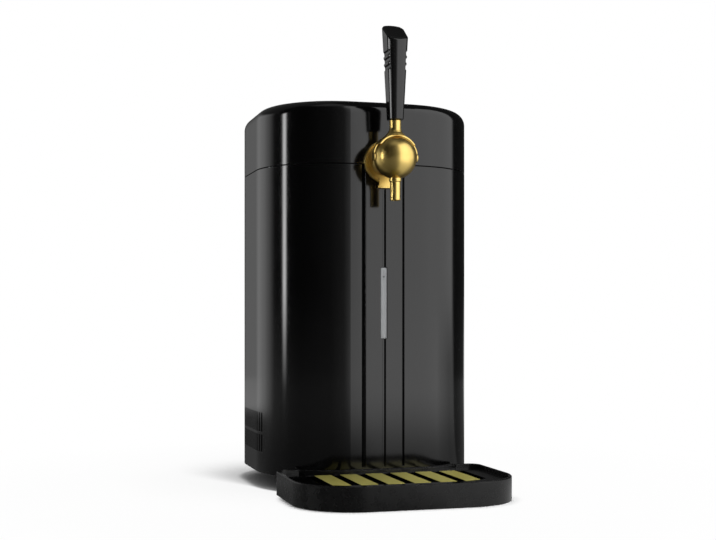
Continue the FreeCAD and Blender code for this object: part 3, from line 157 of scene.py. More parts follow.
def new_tree(owner):
    """The emptied node tree of a material or world."""
    owner.use_nodes = True
    tree = owner.node_tree
    tree.nodes.clear()
    return tree


def feed(tree, socket, value):
    """Link a socket to another one, or give it a fixed value."""
    if isinstance(value, bpy.types.NodeSocket):
        tree.links.new(value, socket)
    else:
        socket.default_value = value


def ray_share(tree):
    """1 for rays from the camera, in mirrors and through glass, and 0 for the light on the object."""
    path = tree.nodes.new("ShaderNodeLightPath")
    total = path.outputs["Is Camera Ray"]
    for name in ("Is Glossy Ray", "Is Transmission Ray"):
        total = math_node(tree, "MAXIMUM", total, path.outputs[name])
    return total


def math_node(tree, operation, *values):
    made = tree.nodes.new("ShaderNodeMath")
    made.operation = operation
    for socket, value in zip(made.inputs, values):
        feed(tree, socket, value)
    return made.outputs[0]


def grey_ramp(tree, share, stops, low, high, full):
    """Level at a place between low and high, from stops of (place, level) where full is the most."""
    ramp = tree.nodes.new("ShaderNodeValToRGB")
    tree.links.new(share, ramp.inputs[0])
    elements = ramp.color_ramp.elements
    while len(elements) < len(stops):
        elements.new(0.5)
    for element, (place, level) in zip(elements, stops):
        element.position = (place - low) / (high - low)
        element.color = (level / full, level / full, level / full, 1)
    return ramp.outputs["Color"]


class Surround:
    """Directions and distances from the middle of the room, for its wall and floor."""

    def __init__(self, tree):
        self.tree = tree
        place = tree.nodes.new("ShaderNodeNewGeometry").outputs["Position"]
        split = tree.nodes.new("ShaderNodeSeparateXYZ")
        tree.links.new(place, split.inputs[0])
        forward = math_node(tree, "MULTIPLY", split.outputs["Y"], -1.0)
        turn = math_node(tree, "ARCTAN2", split.outputs["X"], forward)
        self.azimuth = math_node(tree, "MULTIPLY_ADD", turn, 1 / (2 * math.pi), 0.5)
        self.height = split.outputs["Z"]
        self.rearward = split.outputs["Y"]
        across = math_node(tree, "POWER", split.outputs["X"], 2.0)
        along = math_node(tree, "POWER", split.outputs["Y"], 2.0)
        self.distance = math_node(tree, "SQRT", math_node(tree, "ADD", across, along))

    def by_azimuth(self, stops, full=GLOW):
        """Level from stops of (azimuth, level) round the room."""
        return grey_ramp(self.tree, self.azimuth, stops, -180, 180, full)

    def from_box(self, centre, half, corner):
        """Distance over the floor from a box with rounded corners."""
        value = self.tree.nodes.new("ShaderNodeNewGeometry").outputs["Position"]
        core = [max(h - corner, 0) for h in half]
        for operation, other in (("SUBTRACT", centre), ("ABSOLUTE", None), ("SUBTRACT", core),
                                 ("MAXIMUM", (0, 0, 0)), ("LENGTH", None)):
            made = self.tree.nodes.new("ShaderNodeVectorMath")
            made.operation = operation
            self.tree.links.new(value, made.inputs[0])
            if other is not None:
                made.inputs[1].default_value = other
            value = made.outputs["Value" if operation == "LENGTH" else "Vector"]
        return math_node(self.tree, "SUBTRACT", value, corner)

    def by_length(self, length, stops):
        """Level from stops of (height or distance, level)."""
        share = math_node(self.tree, "MULTIPLY", length, 1 / RAMP_LENGTH)
        return grey_ramp(self.tree, share, stops, 0, RAMP_LENGTH, 1.0)

    def step(self, value, start, end):
        """0 at start and before it, and 1 from end on."""
        made = self.tree.nodes.new("ShaderNodeMapRange")
        made.interpolation_type = "SMOOTHSTEP"
        for name, given in (("Value", value), ("From Min", start), ("From Max", end)):
            feed(self.tree, made.inputs[name], given)
        return made.outputs["Result"]

    def mixed(self, share, first, second):
        """first where share is 0 and second where it is 1."""
        rest = math_node(self.tree, "SUBTRACT", 1.0, share)
        start = math_node(self.tree, "MULTIPLY", first, rest)
        return math_node(self.tree, "MULTIPLY_ADD", second, share, start)


def make_world():
    """Even light on the object, with plain white behind it and in its glass and metal."""
    world = bpy.data.worlds.new("studio")
    scene.world = world
    tree = new_tree(world)
    back = tree.nodes.new("ShaderNodeBackground")
    back.inputs["Color"].default_value = (1, 1, 1, 1)
    mix = tree.nodes.new("ShaderNodeMapRange")
    mix.inputs["To Min"].default_value = AMBIENT
    mix.inputs["To Max"].default_value = 1.0
    out = tree.nodes.new("ShaderNodeOutputWorld")
    tree.links.new(ray_share(tree), mix.inputs["Value"])
    tree.links.new(mix.outputs["Result"], back.inputs["Strength"])
    tree.links.new(back.outputs[0], out.inputs["Surface"])


def room_piece(name, bm, material_name):
    """Object of a finished bmesh, and the empty tree of its material."""
    mesh = bpy.data.meshes.new(name)
    bm.to_mesh(mesh)
    bm.free()
    material = bpy.data.materials.new(material_name)
    mesh.materials.append(material)
    return link(bpy.data.objects.new(name, mesh)), new_tree(material)


def glowing(tree, level):
    """Plain light, of GLOW times the level."""
    light = tree.nodes.new("ShaderNodeEmission")
    light.inputs["Strength"].default_value = GLOW
    tree.links.new(level, light.inputs["Color"])
    return light.outputs[0]


def mix_shaders(tree, share, first, second):
    mix = tree.nodes.new("ShaderNodeMixShader")
    for socket, given in zip(mix.inputs, (share, first, second)):
        tree.links.new(given, socket)
    return mix.outputs[0]


def show(tree, surface):
    """Make a shader the surface of the material."""
    out = tree.nodes.new("ShaderNodeOutputMaterial")
    tree.links.new(surface, out.inputs["Surface"])


def floor_whiteness(tree, room):
    """How far plain white covers the floor's own light and shade: least close to the object."""
    grown = math_node(tree, "MULTIPLY", room.rearward, SHADOW_GROWTH)
    reach = math_node(tree, "MAXIMUM", grown, SHADOW_LEAST)
    from_body = room.from_box(*BODY_FOOTPRINT)
    soft = math_node(tree, "MULTIPLY", room.step(from_body, 0.0, reach), 1 - CONTACT_SHARE)
    contact = room.step(from_body, 0.0, CONTACT_REACH)
    clear_of_body = math_node(tree, "MULTIPLY_ADD", contact, CONTACT_SHARE, soft)
    clear_of_tray = room.step(room.from_box(*TRAY_FOOTPRINT), 0.0, TRAY_SHADOW)
    clear = math_node(tree, "MINIMUM", clear_of_body, clear_of_tray)
    beside = math_node(tree, "MULTIPLY", clear, 1 - SHADOW_LEFT)
    beyond = math_node(tree, "MULTIPLY", room.step(room.distance, WHITE_FROM, WHITE_AT), SHADOW_LEFT)
    return math_node(tree, "ADD", beside, beyond)


def floor_level(tree, room):
    """What gloss sees of the floor, as a share of GLOW."""
    outwards = room.by_length(room.distance, FLOOR_BY_DISTANCE)
    level = math_node(tree, "MULTIPLY_ADD", room.by_azimuth(FOOT_STOPS), outwards, FLOOR_BASE / GLOW)
    far = room.step(room.distance, FAR_FROM, FAR_AT)
    level = math_node(tree, "MULTIPLY_ADD", room.by_azimuth(FAR_STOPS), far, level)
    strip = math_node(tree, "MULTIPLY", room.by_azimuth(STRIP_STOPS), STRIP_IN_FLOOR)
    growing = room.step(room.distance, STRIP_FROM, STRIP_AT)
    return math_node(tree, "MULTIPLY_ADD", strip, growing, level)


def make_floor():
    """Pale floor that the camera sees as white round the object's shade."""
    bm = bmesh.new()
    bmesh.ops.create_circle(bm, cap_ends=True, segments=FLOOR_SEGMENTS, radius=FLOOR_RADIUS)
    floor, tree = room_piece("floor", bm, "pale_floor")
    path = tree.nodes.new("ShaderNodeLightPath")
    room = Surround(tree)
    paint = tree.nodes.new("ShaderNodeBsdfDiffuse")
    paint.inputs["Color"].default_value = FLOOR_COLOUR
    white = tree.nodes.new("ShaderNodeEmission")
    cover = math_node(tree, "MULTIPLY", path.outputs["Is Camera Ray"], floor_whiteness(tree, room))
    seen = mix_shaders(tree, cover, paint.outputs[0], white.outputs[0])
    mirrored = glowing(tree, floor_level(tree, room))
    show(tree, mix_shaders(tree, path.outputs["Is Glossy Ray"], seen, mirrored))


def wall_level(tree, room):
    """What gloss sees of the wall and roof, as a share of GLOW."""
    strip = math_node(tree, "MULTIPLY", room.by_azimuth(STRIP_STOPS),
                      room.by_length(room.height, STRIP_BY_HEIGHT))
    boxes = math_node(tree, "ADD", room.by_azimuth(WALL_STOPS), strip)
    top = math_node(tree, "MULTIPLY", room.by_azimuth(TOP_BY_AZIMUTH, 1.0), WALL_HEIGHT)
    top_end = math_node(tree, "ADD", top, TOP_SOFT)
    roof = room.by_azimuth(ROOF_STOPS)
    upper = room.mixed(room.step(room.height, top, top_end), boxes, roof)
    inner = room.step(room.distance, WALL_RADIUS - ROOF_FROM, WALL_RADIUS - ROOF_AT)
    upper = room.mixed(inner, upper, roof)
    foot = math_node(tree, "ADD", room.by_azimuth(FOOT_STOPS), room.by_azimuth(FAR_STOPS))
    lower = math_node(tree, "ADD", foot, strip)
    return room.mixed(room.step(room.height, 0, FOOT_TOP), lower, upper)


def make_wall():
    """Drum round the object with a roof on it, seen in gloss only."""
    bm = bmesh.new()
    bmesh.ops.create_cone(bm, cap_ends=False, segments=WALL_SEGMENTS, radius1=WALL_RADIUS,
                          radius2=WALL_RADIUS, depth=WALL_HEIGHT)
    bmesh.ops.translate(bm, verts=bm.verts, vec=(0, 0, WALL_HEIGHT / 2))
    rim = [e for e in bm.edges if all(v.co.z > WALL_HEIGHT - MM for v in e.verts)]
    bmesh.ops.edgeloop_fill(bm, edges=rim)
    wall, tree = room_piece("studio_wall", bm, "studio_wall")
    show(tree, glowing(tree, wall_level(tree, Surround(tree))))
    for kind in ("camera", "diffuse", "transmission", "volume_scatter", "shadow"):
        setattr(wall, "visible_" + kind, False)


make_camera()
make_world()
make_floor()
make_wall()
lamp("overhead_key", 90, 82, 2.2, 0.6, 0.66)
lamp("front_fill", 10, 30, 2.4, 1.4, 0.26)
lamp("rear_fill", 170, 30, 2.4, 1.4, 0.20)


# ---------------------------------------------------------------- materials
BLOTCHES = (0.35, 0.7)         # the part of a blotchy noise that a span stretches over,
BRUSHING = (0.3, 0.7)          # and of a finely brushed one
WINDOW_DOT = 0.2385            # height of the dot in the window
DOT_EDGE = (0.8 * MM, 1.4 * MM)
THREAD_HALF = 0.35 * MM        # the dark thread that crosses the dot: half its width and how soft it is,
THREAD_SOFT = 0.5 * MM
THREAD_UP = 2.0 * MM           # its middle's rise over the dot, half its length and how soft it ends
THREAD_REACH = 5.5 * MM
THREAD_END = 2.0 * MM
THREAD_SHARE = 0.45


class Look:
    """A node material that is being made: a Principled shader fed from the object's own space."""

    def __init__(self, name, **fixed):
        self.material = bpy.data.materials.new("look_" + name)
        self.material.use_nodes = True
        self.tree = self.material.node_tree
        self.shader = self.tree.nodes["Principled BSDF"]
        for socket, value in fixed.items():
            self.shader.inputs[socket.replace("_", " ")].default_value = value
        self.where = self.tree.nodes.new("ShaderNodeTexCoord").outputs["Object"]

    def node(self, kind, inputs, **settings):
        made = self.tree.nodes.new("ShaderNode" + kind)
        for name, value in settings.items():
            setattr(made, name, value)
        for name, value in inputs.items():
            feed(self.tree, made.inputs[name], value)
        return made

    def maths(self, operation, *values):
        return math_node(self.tree, operation, *values)

    def stretched(self, scale, where=None):
        return self.node("Mapping", {"Vector": where or self.where, "Scale": scale}).outputs[0]

    def noise(self, size, detail=2.0, stretch=None, rough=0.5, where=None):
        """Soft blotches about size across, drawn out where stretch is small."""
        where = where or self.where
        if stretch:
            where = self.stretched(stretch, where)
        return self.node("TexNoise", {"Vector": where, "Scale": 1 / size, "Detail": detail,
                                      "Roughness": rough}).outputs["Fac"]

    def axes(self):
        split = self.node("SeparateXYZ", {"Vector": self.where})
        return split.outputs["X"], split.outputs["Y"], split.outputs["Z"]

    def round_axis(self, x, y):
        """Coordinates round an upright axis: its distance, nothing, and the height."""
        along, across, up = self.axes()
        dx = self.maths("SUBTRACT", along, x)
        dy = self.maths("SUBTRACT", across, y)
        squares = self.maths("MULTIPLY_ADD", dx, dx, self.maths("MULTIPLY", dy, dy))
        return self.node("CombineXYZ", {"X": self.maths("SQRT", squares), "Y": 0.0, "Z": up}).outputs[0]

    def span(self, value, low, high, start=0.0, end=1.0):
        return self.node("MapRange", {"Value": value, "From Min": start, "From Max": end,
                                      "To Min": low, "To Max": high}).outputs["Result"]

    def near(self, value, centre, half, soft):
        """1 where value is within half of centre, fading out over soft."""
        off = self.maths("ABSOLUTE", self.maths("SUBTRACT", value, centre))
        return self.span(off, 1.0, 0.0, half - soft / 2, half + soft / 2)

    def blend(self, share, first, second):
        made = self.node("Mix", {"Factor": share}, data_type="RGBA")
        feed(self.tree, made.inputs[6], first)
        feed(self.tree, made.inputs[7], second)
        return made.outputs[2]

    def colour(self, value):
        feed(self.tree, self.shader.inputs["Base Color"], value)

    def rough(self, value):
        feed(self.tree, self.shader.inputs["Roughness"], value)

    def rounded(self, radius):
        """Normal that turns smoothly over the hard edges, as moulded and plated edges do."""
        return self.node("Bevel", {"Radius": radius}, samples=4).outputs["Normal"]

    def relief(self, height, depth, over=None):
        """Bump of a real depth; over is relief that is already there."""
        inputs = {"Height": height, "Distance": depth, "Strength": 1.0}
        if over is not None:
            inputs["Normal"] = over
        feed(self.tree, self.shader.inputs["Normal"], self.node("Bump", inputs).outputs["Normal"])


def shade(red, green=None, blue=None):
    if green is None:
        return (red, red, red, 1)
    return (red, green, blue, 1)


def gloss_black():
    look = Look("gloss_black", IOR=1.5)
    look.colour(look.blend(look.noise(0.05), shade(0.0010), shade(0.0014, 0.0014, 0.0016)))
    look.rough(look.span(look.noise(0.03, 4.0), 0.09, 0.12, *BLOTCHES))
    look.relief(look.noise(0.006, 1.0), 0.003 * MM, look.rounded(0.4 * MM))
    return look.material


def satin_black():
    look = Look("satin_black", IOR=1.43)
    look.colour(look.blend(look.noise(0.02), shade(0.003), shade(0.0045)))
    look.rough(look.span(look.noise(0.01, 4.0), 0.25, 0.31, *BLOTCHES))
    look.relief(look.noise(0.0006, 2.0), 0.006 * MM, look.rounded(0.5 * MM))
    return look.material


def grip_black():
    look = Look("grip_black", IOR=1.5)
    look.colour(look.blend(look.noise(0.01), shade(0.0025), shade(0.004)))
    look.rough(look.span(look.noise(0.008, 4.0), 0.04, 0.08, *BLOTCHES))
    look.relief(look.noise(0.004, 1.0), 0.002 * MM)
    return look.material


def brass():
    look = Look("brass", Metallic=1.0)
    tarnish = look.span(look.noise(0.012, 4.0), 0.0, 1.0, 0.4, 0.7)
    look.colour(look.blend(tarnish, shade(0.78, 0.57, 0.185), shade(0.71, 0.51, 0.155)))
    brushing = look.noise(0.0004, 3.0, (0.15, 0.15, 1.0))
    look.rough(look.span(brushing, 0.29, 0.32, *BRUSHING))
    look.relief(brushing, 0.0003 * MM, look.rounded(0.3 * MM))
    return look.material


def slat_gold():
    look = Look("slat_gold", Metallic=0.35)
    brushing = look.noise(0.0006, 3.0, (1.0, 0.06, 1.0))
    look.colour(look.blend(brushing, shade(0.46, 0.415, 0.10), shade(0.53, 0.48, 0.13)))
    look.rough(look.span(brushing, 0.36, 0.48, *BRUSHING))
    look.relief(brushing, 0.008 * MM)
    return look.material


def metal(name, light, dark, low, high, stretch):
    look = Look(name, Metallic=1.0)
    brushing = look.noise(0.0006, 3.0, stretch)
    look.colour(look.blend(brushing, light, dark))
    look.rough(look.span(brushing, low, high, *BRUSHING))
    look.relief(brushing, 0.006 * MM)
    return look.material


def drawn_well(node):
    """Aluminium of a deep-drawn cup: fine rings on its floor and round its wall, with faint runs."""
    low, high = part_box(node)
    look = Look("drawn_well", Metallic=1.0)
    rings = look.noise(0.0008, 3.0, (1.0, 1.0, 1.0), 0.6,
                       look.round_axis((low[0] + high[0]) / 2, (low[1] + high[1]) / 2))
    runs = look.noise(0.006, 3.0, (1.0, 1.0, 0.04))
    look.colour(look.blend(runs, shade(0.70, 0.71, 0.72), shade(0.60, 0.61, 0.62)))
    look.rough(look.span(rings, 0.30, 0.44, *BRUSHING))
    look.relief(rings, 0.01 * MM)
    return look.material


def plastic(name, light, dark, low, high, grain=0.0008, depth=0.02 * MM):
    look = Look(name, IOR=1.5)
    look.colour(look.blend(look.noise(0.03, 3.0), light, dark))
    look.rough(look.span(look.noise(0.01, 3.0), low, high, *BLOTCHES))
    look.relief(look.noise(grain, 2.0), depth)
    return look.material


def clear_hose():
    look = Look("clear_hose", IOR=1.45, Transmission_Weight=0.75)
    look.colour(look.blend(look.noise(0.02), shade(0.80, 0.84, 0.86), shade(0.74, 0.78, 0.80)))
    look.rough(look.span(look.noise(0.008, 3.0), 0.10, 0.2, *BLOTCHES))
    return look.material


def circuit_board():
    """Green solder mask over copper tracks, with tinned pads on a grid."""
    look = Look("circuit_board", IOR=1.5)
    tracks = look.node("TexBrick", {"Vector": look.where, "Scale": 120.0, "Mortar Size": 0.03,
                                    "Color1": shade(0.02, 0.11, 0.04), "Color2": shade(0.025, 0.13, 0.045),
                                    "Mortar": shade(0.06, 0.22, 0.08)})
    pads = look.node("TexVoronoi", {"Vector": look.where, "Scale": 260.0, "Randomness": 0.15})
    tinned = look.span(pads.outputs["Distance"], 1.0, 0.0, 0.16, 0.20)
    look.colour(look.blend(tinned, tracks.outputs["Color"], shade(0.45, 0.45, 0.42)))
    look.rough(look.span(tinned, 0.32, 0.22))
    look.relief(tracks.outputs["Fac"], 0.02 * MM)
    return look.material


def window_grey():
    """Smoked light pipe: a sensor's dark dot and the edge of the board show through its top end."""
    look = Look("window_grey", IOR=1.49)
    x, _, z = look.axes()
    dot_up = look.maths("SUBTRACT", z, WINDOW_DOT)
    squares = look.maths("MULTIPLY_ADD", dot_up, dot_up, look.maths("MULTIPLY", x, x))
    dot = look.span(look.maths("SQRT", squares), 1.0, 0.0, *DOT_EDGE)
    thread = look.maths("MULTIPLY", look.near(x, 0.0, THREAD_HALF, THREAD_SOFT),
                        look.near(z, WINDOW_DOT + THREAD_UP, THREAD_REACH, THREAD_END))
    marks = look.maths("MAXIMUM", dot, look.maths("MULTIPLY", thread, THREAD_SHARE))
    clean = look.blend(look.noise(0.02, 3.0), shade(0.37, 0.38, 0.39), shade(0.34, 0.35, 0.36))
    look.colour(look.blend(marks, clean, shade(0.10, 0.105, 0.11)))
    look.rough(look.span(look.noise(0.01, 3.0), 0.15, 0.24, *BLOTCHES))
    return look.material


LOOKS = {
    "gloss_black": gloss_black(),
    "satin_black": satin_black(),
    "grip_black": grip_black(),
    "brass": brass(),
    "slat_gold": slat_gold(),
    "coupler_black": plastic("coupler_black", shade(0.010), shade(0.016), 0.3, 0.4),
    "liner_grey": plastic("liner_grey", shade(0.20, 0.205, 0.21), shade(0.17, 0.175, 0.18), 0.35, 0.45),
    "steel": metal("steel", shade(0.56, 0.57, 0.58), shade(0.47, 0.48, 0.49), 0.22, 0.34, (0.2, 0.2, 1)),
    "aluminium": metal("aluminium", shade(0.74, 0.75, 0.76), shade(0.66, 0.67, 0.68), 0.3, 0.42,
                       (0.1, 0.1, 1)),
    "ceramic_white": plastic("ceramic_white", shade(0.8), shade(0.74), 0.4, 0.5),
    "foam": plastic("foam", shade(0.80, 0.76, 0.62), shade(0.72, 0.67, 0.52), 0.8, 0.9, 0.0012, 0.2 * MM),
    "rubber": plastic("rubber", shade(0.014), shade(0.022), 0.6, 0.75),
    "clear_hose": clear_hose(),
    "window_grey": window_grey(),
    "board_green": circuit_board(),
    "supply_case": metal("supply_case", shade(0.6), shade(0.52), 0.35, 0.45, (0.2, 0.2, 1)),
}
for node in nodes.values():
    for holder in node.material_slots:
        holder.material = LOOKS[holder.material.name]
nodes["keg_well"].material_slots[0].material = drawn_well("keg_well")


# ---------------------------------------------------------------- help for pieces
SHARP_TURN = math.radians(32)


def new_piece(name, bm, material, body):
    """Object of a finished bmesh: smooth, with its hard edges kept."""
    bmesh.ops.recalc_face_normals(bm, faces=bm.faces)
    for face in bm.faces:
        face.smooth = True
    for edge in bm.edges:
        edge.smooth = len(edge.link_faces) == 2 and edge.calc_face_angle() < SHARP_TURN
    mesh = bpy.data.meshes.new(name)
    bm.to_mesh(mesh)
    bm.free()
    mesh.materials.append(material)
    piece = link(bpy.data.objects.new(name, mesh))
    weighted = piece.modifiers.new("even_normals", "WEIGHTED_NORMAL")
    weighted.keep_sharp = True
    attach(piece, body)
    return piece


def add_rings(bm, rings):
    """Skin over closed rings of points that all have the same count, with both ends closed."""
    made = [[bm.verts.new(point) for point in ring] for ring in rings]
    count = len(made[0])
    for lower, upper in zip(made, made[1:]):
        for i in range(count):
            k = (i + 1) % count
            bm.faces.new((lower[i], lower[k], upper[k], upper[i]))
    bm.faces.new(made[0][::-1])
    bm.faces.new(made[-1])


# ---------------------------------------------------------------- the grip
GRIP_AT = (0.0, -0.10515, 0.4055)
GRIP_LENGTH = 105.6            # the grip's sizes are in millimetres from here on
GRIP_LOW_HALF = 8.0            # half its width at the foot and at the top
GRIP_TOP_HALF = 12.9
GRIP_FLANK = 0.668             # half the flat flank, as a share of the half width
GRIP_DEPTH = 1.02              # half the depth and half the flat front, as such shares too
GRIP_FRONT = 0.74
GRIP_DROP = 21.7               # of the slanted top, from back to front
CORNER_ROUND = 1.2
RIM_ROUND = 1.4
RIM_ANGLES = (25, 50, 72, 90)  # of the rings round the rim
RIM_FLAT = 0.5                 # between the rim and the dish in the top
DISH_WIDTH = 2.2
DISH_DEPTH = 0.5
DISH_FLOOR = 9.0               # distance from the flanks at which the dish's floor is closed
FOOT_INSET = 0.5               # the foot is drawn in by this,
FOOT_RISE = 0.6                # over this height
NOTCHES = 3
NOTCH_FIRST = 55.8
NOTCH_PITCH = 7.5
NOTCH_RADIUS = 2.7
NOTCH_DEPTH = 2.2
NOTCH_REACH = 2.65             # how far up and down from its middle a notch reaches
NOTCH_EDGE = 0.001             # added to that, so that a ring at the very edge of a notch is in it
NOTCH_STEPS = (-1.2, -1, -0.9, -0.7, -0.4, 0, 0.4, 0.7, 0.9, 1, 1.2)     # rings, in shares of the reach
NOTCH_CLEAR = 2.4              # points further in than this from a flank keep clear of the notches
LOW_RINGS = 12                 # below the notches
LOW_PITCH = 4
HIGH_RINGS = (74.5, 76, 78)    # heights of the rings above them
GRIP_SLOPE_FROM = 80.0         # rings above this follow the slanted top
SLOPE_RINGS = 4
SLOPE_ROUNDS = 3               # until a point on a slanted ring has settled
FACET_SHARES = (0.3, 0.42, 0.54, 0.66, 0.78, 0.88)     # points along a slanted facet, from its flank
FACET_BULGE = 0.006            # how far a slanted facet is rounded out, as a share of its length
CROWN_SHARES = (0.1, 0.2, 0.3, 0.4, 0.5, 0.6, 0.7, 0.8, 0.9)      # points along the front or back
CROWN_BULGE = 0.09             # the same for the front and back
FACET_SLOPE = (GRIP_DEPTH - GRIP_FLANK) / (1 - GRIP_FRONT)     # its depth for each unit of its width
CORNER_REACH = CORNER_ROUND * math.tan(math.radians(22.5))     # of the rounding, along each of its sides


def grip_half(z):
    """Half the grip's width at a height."""
    return GRIP_LOW_HALF + (GRIP_TOP_HALF - GRIP_LOW_HALF) * z / GRIP_LENGTH


def rounded_corner(before, corner, after, radius, steps=4):
    """Points of the arc that rounds one corner of a flat outline."""
    corner = Vector(corner)
    back = (Vector(before) - corner).normalized()
    ahead = (Vector(after) - corner).normalized()
    half_angle = back.angle(ahead) / 2
    centre = corner + (back + ahead).normalized() * (radius / math.sin(half_angle))
    start = corner + back * (radius / math.tan(half_angle)) - centre
    end = corner + ahead * (radius / math.tan(half_angle)) - centre
    points = []
    for i in range(steps + 1):
        points.append(centre + start.slerp(end, i / steps))
    return points


def bulged(start, end, shares, bulge):
    """Points at some shares of one side of the section, which is rounded out by bulge of its length."""
    along = Vector(end) - Vector(start)
    out = Vector((along.y, -along.x))
    if out.dot(Vector(start)) < 0:
        out = -out
    return [Vector(start) + along * t + out * (bulge * 4 * t * (1 - t)) for t in shares]


def grip_section(half):
    """Outline of the grip at one height, anticlockwise from its right flank's rear corner."""
    flank = half * GRIP_FLANK
    depth = half * GRIP_DEPTH
    front = half * GRIP_FRONT
    corners = [(half, flank), (front, depth), (-front, depth), (-half, flank),
               (-half, -flank), (-front, -depth), (front, -depth), (half, -flank)]
    sides = []
    for i, corner in enumerate(corners):
        following = corners[(i + 1) % len(corners)]
        # the even sides are the slanted facets, which all count their points from their flank
        if i in (0, 4):
            sides.append(bulged(corner, following, FACET_SHARES, FACET_BULGE))
        elif i in (2, 6):
            sides.append(bulged(following, corner, FACET_SHARES, FACET_BULGE)[::-1])
        elif i in (1, 5):
            sides.append(bulged(corner, following, CROWN_SHARES, CROWN_BULGE))
        else:
            sides.append([])
    outline = []
    for i, corner in enumerate(corners):
        before = sides[i - 1][-1] if sides[i - 1] else corners[i - 1]
        ahead = sides[i][0] if sides[i] else corners[(i + 1) % len(corners)]
        outline += rounded_corner(before, corner, ahead, CORNER_ROUND) + sides[i]
    return outline


def notch_limit(z, half):
    """Most that the grip reaches to each side at this height, or None away from the notches."""
    for i in range(NOTCHES):
        off = z - (NOTCH_FIRST + i * NOTCH_PITCH)
        if abs(off) < NOTCH_REACH + NOTCH_EDGE:
            return half + NOTCH_RADIUS - NOTCH_DEPTH - math.sqrt(NOTCH_RADIUS ** 2 - off ** 2)
    return None


def notched(outline, half, limit):
    """The outline with its flanks cut back to limit: points move along the slanted facets."""
    flank = half * GRIP_FLANK
    edge = flank + (half - limit) * FACET_SLOPE
    tangent = flank - CORNER_REACH
    tallest = max(abs(p.y) for p in outline if abs(p.x) > half - NOTCH_CLEAR)
    result = []
    for point in outline:
        if abs(point.x) <= half - NOTCH_CLEAR:
            result.append(point)
            continue
        share = (abs(point.y) - tangent) / (tallest - tangent)
        y = tangent + max(share, 0) * (edge - tangent)
        x = min(abs(point.x), limit)
        result.append(Vector((math.copysign(x, point.x), math.copysign(y, point.y))))
    return result


def grip_heights():
    heights = [0, FOOT_RISE] + [LOW_PITCH * i for i in range(1, LOW_RINGS + 1)]
    for i in range(NOTCHES):
        centre = NOTCH_FIRST + i * NOTCH_PITCH
        heights += [centre + s * NOTCH_REACH for s in NOTCH_STEPS]
    heights += [*HIGH_RINGS, GRIP_SLOPE_FROM]
    return sorted(heights)


def slant(y):
    """Height of the slanted top over a point."""
    depth = GRIP_TOP_HALF * (GRIP_DEPTH + 2 * GRIP_FRONT * CROWN_BULGE)
    return GRIP_LENGTH - GRIP_DROP * (depth - y) / (2 * depth)


def level_rings():
    rings = []
    for z in grip_heights():
        half = grip_half(z)
        outline = grip_section(half)
        limit = notch_limit(z, half)
        if limit is not None:
            outline = notched(outline, half, limit)
        inset = FOOT_INSET if z == 0 else 0.0
        scale = (half - inset) / half
        rings.append([(p.x * scale, p.y * scale, z) for p in outline])
    return rings


def slope_rings():
    """Rings on the flanks that lean further and further, until the last is parallel to the top."""
    rings = []
    for i in range(1, SLOPE_RINGS + 1):
        share = i / SLOPE_RINGS
        ring = []
        for index in range(len(grip_section(GRIP_TOP_HALF))):
            z = GRIP_SLOPE_FROM
            for _ in range(SLOPE_ROUNDS):
                point = grip_section(grip_half(z))[index]
                edge = slant(point.y) - RIM_ROUND
                z = GRIP_SLOPE_FROM + (edge - GRIP_SLOPE_FROM) * share
            ring.append((point.x, point.y, z))
        rings.append(ring)
    return rings


def top_rings(last):
    """Rings of the rounded rim and of the shallow dish inside it."""
    rings = []
    for angle in RIM_ANGLES:
        inset = RIM_ROUND * (1 - math.cos(math.radians(angle)))
        rise = RIM_ROUND * math.sin(math.radians(angle))
        rings.append(shrunk(last, inset, rise))
    for share in (0, 0.5, 1):
        inset = RIM_ROUND + RIM_FLAT + DISH_WIDTH * share
        rings.append(shrunk(last, inset, RIM_ROUND - DISH_DEPTH * share))
    rings.append(shrunk(last, DISH_FLOOR, RIM_ROUND - DISH_DEPTH))
    return rings


def shrunk(ring, inset, rise):
    """The last ring of the flanks, drawn in by inset and kept parallel to the slanted top."""
    result = []
    for x, y, _ in ring:
        length = math.hypot(x, y)
        scale = (length - inset) / length
        result.append((x * scale, y * scale, slant(y * scale) - RIM_ROUND + rise))
    return result


def make_grip():
    flanks = level_rings() + slope_rings()
    rings = flanks + top_rings(flanks[-1])
    bm = bmesh.new()
    add_rings(bm, [[tuple(c * MM for c in point) for point in ring] for ring in rings])
    bmesh.ops.translate(bm, verts=bm.verts, vec=GRIP_AT)
    piece = new_piece("grip", bm, LOOKS["grip_black"], "tap_handle")
    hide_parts("tap_grip")


make_grip()


# ---------------------------------------------------------------- screws
HEAD_RADIUS = 3.2              # all in millimetres
HEAD_HEIGHT = 2.2
HEAD_SIDE = 0.9                # height at which the dome of the head starts
DOME_ANGLES = (0, 20, 40, 60, 75)
SEAT_INSET = 0.15              # the head's lower edge is cut off by this,
SEAT_RISE = 0.2                # over this height
SHANK_RADIUS = 1.75
SHANK_LENGTH = 8.0
TIP_RADIUS = 0.5               # of the blunt end, under a short cone
TIP_LENGTH = 1.2
HEAD_SEGMENTS = 32
CROSS_REACH = 1.75             # half of the cross from end to end, and half an arm's width
CROSS_HALF = 0.38
CROSS_FLOOR = 0.7              # height of its bottom, and how small that is beside its top
CROSS_TAPER = 0.55
ONLY_HEAD = 3.0                # further out from the axis than this there is only the head
SCREW_TURN = 37                # degrees that each screw stands turned from the one before


def lathe(bm, profile, segments):
    """Closed body of revolution round Z; the profile runs from its bottom to its top."""
    rings = []
    for radius, z in profile:
        angles = [2 * math.pi * i / segments for i in range(segments)]
        rings.append([(radius * math.cos(a) * MM, radius * math.sin(a) * MM, z * MM) for a in angles])
    add_rings(bm, rings)


def add_box(bm, half_x, half_y, low_z, high_z, taper=1.0):
    """Block round Z, with its bottom drawn in to taper of its top."""
    rings = []
    for share, z in ((taper, low_z), (1.0, high_z)):
        corners = ((1, 1), (-1, 1), (-1, -1), (1, -1))
        rings.append([(x * half_x * share * MM, y * half_y * share * MM, z * MM) for x, y in corners])
    add_rings(bm, rings)


